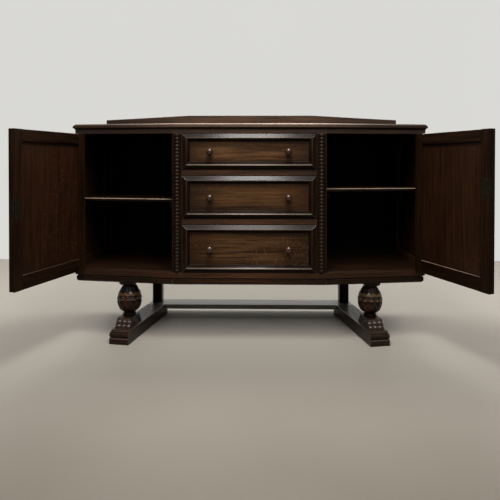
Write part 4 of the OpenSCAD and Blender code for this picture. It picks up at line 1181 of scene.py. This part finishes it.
class SIDEBOARD_OT_blocks(bpy.types.Operator):
    """Carves the blocks between the sledge rails and the legs"""
    bl_idname = "sideboard.blocks"
    bl_label = "Carve the foot blocks"

    def execute(self, context):
        foot = context.scene.sideboard_foot
        low, high = [corner.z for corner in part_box("left_foot_block")]
        block = begun("foot_block", bpy.ops.mesh.primitive_cube_add, size=1,
                      location=(0, (BLOCK_FRONT[0] + BLOCK_BACK[0]) / 2, (low + high) / 2),
                      scale=(2 * BLOCK_HALF[0], BLOCK_BACK[0] - BLOCK_FRONT[0], high - low))
        with editing(block, "VERT", lambda p: p.co.z > high - 0.001):
            bpy.ops.transform.resize(value=(BLOCK_HALF[1] / BLOCK_HALF[0], 1, 1), center_override=(0, 0, 0))
        for bottom, top in (BLOCK_FRONT, BLOCK_BACK):
            with editing(block, "VERT", lambda p: p.co.z > high - 0.001 and abs(p.co.y - bottom) < 0.001):
                bpy.ops.transform.translate(value=(0, top - bottom, 0))
        with editing(block):
            bpy.ops.mesh.subdivide(number_cuts=44)
        carve_block(block, foot.lobe_height, low, high)
        front_oak = carved_oak("carved_block_oak", deeper(0.50, stain().foot_light)[0], 0.6, seed=0.5)
        # The block's sides, top and back take a darker oak than its carved front: painted shade on the faces
        # turned from the light
        side_oak = case_oak("z", 1.1, 0.40, 0.12)
        for side, turn in (("left", -foot.splay), ("right", foot.splay)):
            leg = middle(side + "_turned_leg")
            front = (leg.x + foot.leg_setback * tan(turn), leg.y - foot.leg_setback, 0)
            piece = placed_copy(block, side + "_carved_block", front, (0, 0, turn))
            finish_with(piece, front_oak, side_oak, smooth=50)
            for face in piece.data.polygons:
                face.material_index = int(face.normal.y > -0.30)
            stand_for(piece, side + "_foot_block")
        discard(block)
        return {"FINISHED"}


class SIDEBOARD_OT_hidden(bpy.types.Operator):
    """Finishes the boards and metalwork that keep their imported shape"""
    bl_idname = "sideboard.hidden"
    bl_label = "Finish boxes and metalwork"

    def execute(self, context):
        finishes = {
            "_hinge_leaves": old_metal("old_brass", stain().brass, (0.05, 0.032, 0.018), 0.34),
            "_lock": old_metal("lock_brass", stain().lock, (0.009, 0.006, 0.004), 0.62),
            "_lock_bolt": old_metal("dull_steel", stain().steel, (0.04, 0.030, 0.024), 0.42),
            "_drawer_box": box_oak("y"),
            "drawer_runners": box_oak("y"),
            "drawer_stops": box_oak("y"),
            "shelf_battens": inner_oak("y"),
            "leg_bearers": inner_oak("x"),
        }
        for name, obj in frame["nodes"].items():
            if obj.hide_render:
                continue
            material = next(finish for ending, finish in finishes.items() if name.endswith(ending))
            for place in obj.material_slots:
                place.material = material
            if not obj.material_slots:
                obj.data.materials.append(material)
        return {"FINISHED"}


# The room's lamps: place, tilt and size
LAMPS = {
    "ceiling_light": ((0.0, -0.70, 2.05), 0, (0.44, 0.50)),
    "front_light": ((0.1, -2.2, 3.0), radians(41), (3.6, 1.6)),
    "wall_light": ((0.0, 0.95, 2.7), 0, (3.4, 0.8)),
}
SHEET_SIZE = 14
WALL_MIDDLE = 3.0


class SIDEBOARD_OT_stage(bpy.types.Operator):
    """Sets up the floor, wall, lamps and camera"""
    bl_idname = "sideboard.stage"
    bl_label = "Set the stage"

    def execute(self, context):
        room = context.scene.sideboard_room
        floor = begun("floor", bpy.ops.mesh.primitive_plane_add, size=SHEET_SIZE, location=(0, 0, -0.0005))
        wall = begun("wall", bpy.ops.mesh.primitive_plane_add, size=SHEET_SIZE, rotation=(pi / 2, 0, 0),
                     location=(0, room.wall_distance, WALL_MIDDLE))
        finish_with(floor, floor_paint(room.floor_colour))
        finish_with(wall, wall_paint(room.wall_colour))
        world = bpy.data.worlds.new("room")
        world.use_nodes = True
        plug(world.node_tree.nodes["Background"], {"Color": (0.97, 0.985, 1.0, 1), "Strength": room.ambient})
        context.scene.world = world
        for name, (place, tilt, size) in LAMPS.items():
            data = bpy.data.lights.new(name, "AREA")
            data.shape = "RECTANGLE"
            data.size, data.size_y = size
            data.energy = getattr(room, name)
            lamp = bpy.data.objects.new(name, data)
            lamp.location = place
            lamp.rotation_euler.x = tilt
            context.scene.collection.objects.link(lamp)
        context.scene.camera = photo_camera(context.scene)
        context.scene.view_settings.view_transform = "Standard"
        return {"FINISHED"}


def photo_camera(scene):
    """A camera at the photograph's viewing angle."""
    view = scene.sideboard_view
    data = bpy.data.cameras.new("camera")
    data.sensor_width = 36
    data.lens = view.lens
    data.shift_y = view.drop
    data.clip_start = 0.05
    camera = bpy.data.objects.new("camera", data)
    scene.collection.objects.link(camera)
    turn = Matrix.Rotation(view.yaw, 3, "Z") @ Matrix.Rotation(pi / 2 - view.pitch, 3, "X")
    camera.rotation_euler = (turn @ Matrix.Rotation(view.roll, 3, "Z")).to_euler()
    camera.location = view.place
    return camera


def floor_paint(colour):
    """A matt floor with the faintest cloud in it, and painted shade that makes it darker towards the viewer.
    """
    material, at, shader = new_material("floor_paint")
    near = 1 - at.axes()[1].between(-1.45, 0.50)
    cloud = at.noise(1.3, 2).between(0.3, 0.7) * 0.06
    shade = [part * by for part, by in zip(colour, (0.21, 0.18, 0.145))]
    plug(shader, {"Base Color": (cloud + near * 0.94).mix(colour, shade), "Roughness": 0.55})
    return material


def wall_paint(colour):
    """Matt paint that the camera sees at an even tone, and that lets the views from behind through."""
    material, at, shader = new_material("wall_paint")
    paint = (at.noise(0.8, 1).between(0.3, 0.7) * 0.05).mix(colour, *deeper(0.8, colour))
    plug(shader, {"Base Color": paint, "Roughness": 0.9})
    plain = Signal(at.tree, shader.outputs["BSDF"])
    glow = at.node("ShaderNodeEmission", {"Color": paint, "Strength": 1.0})
    ways = at.node("ShaderNodeLightPath", {}).socket.node.outputs
    seen = Signal(at.tree, ways["Is Camera Ray"]) + Signal(at.tree, ways["Is Glossy Ray"])
    seen = seen + Signal(at.tree, ways["Is Transmission Ray"])
    front = at.node("ShaderNodeMixShader", {0: seen, 1: plain, 2: glow})
    clear = at.node("ShaderNodeBsdfTransparent", {})
    behind = Signal(at.tree, at.node("ShaderNodeNewGeometry", {}).socket.node.outputs["Backfacing"])
    both = at.node("ShaderNodeMixShader", {0: behind, 1: front, 2: clear})
    surface = next(n for n in at.tree.nodes if n.type == "OUTPUT_MATERIAL")
    plug(surface, {"Surface": both})
    return material


OPERATORS = (
    SIDEBOARD_OT_stage, SIDEBOARD_OT_boards, SIDEBOARD_OT_doors, SIDEBOARD_OT_drawers, SIDEBOARD_OT_base,
    SIDEBOARD_OT_beads, SIDEBOARD_OT_knobs, SIDEBOARD_OT_legs, SIDEBOARD_OT_blocks, SIDEBOARD_OT_hidden,
)


class SIDEBOARD_PT_panel(bpy.types.Panel):
    """Lists the sideboard's steps and sizes"""
    bl_idname = "SIDEBOARD_PT_panel"
    bl_label = "Oak sideboard"
    bl_space_type = "VIEW_3D"
    bl_region_type = "UI"
    bl_category = "Sideboard"

    def draw(self, context):
        for operator in OPERATORS:
            self.layout.operator(operator.bl_idname)
        for name, group in GROUPS.items():
            box = self.layout.box()
            box.label(text=group.__name__)
            for field in group.__annotations__:
                box.prop(getattr(context.scene, name), field)


CLASSES = (*GROUPS.values(), *OPERATORS, SIDEBOARD_PT_panel)


def register():
    for made in CLASSES:
        bpy.utils.register_class(made)
    for name, group in GROUPS.items():
        setattr(bpy.types.Scene, name, bpy.props.PointerProperty(type=group))


def unregister():
    for name in GROUPS:
        delattr(bpy.types.Scene, name)
    for made in reversed(CLASSES):
        bpy.utils.unregister_class(made)


def main():
    register()
    bpy.ops.sideboard.stage()
    bpy.ops.sideboard.boards()
    bpy.ops.sideboard.doors()
    bpy.ops.sideboard.drawers()
    bpy.ops.sideboard.base()
    bpy.ops.sideboard.beads()
    bpy.ops.sideboard.knobs()
    bpy.ops.sideboard.legs()
    bpy.ops.sideboard.blocks()
    bpy.ops.sideboard.hidden()


if __name__ == "__main__":
    main()
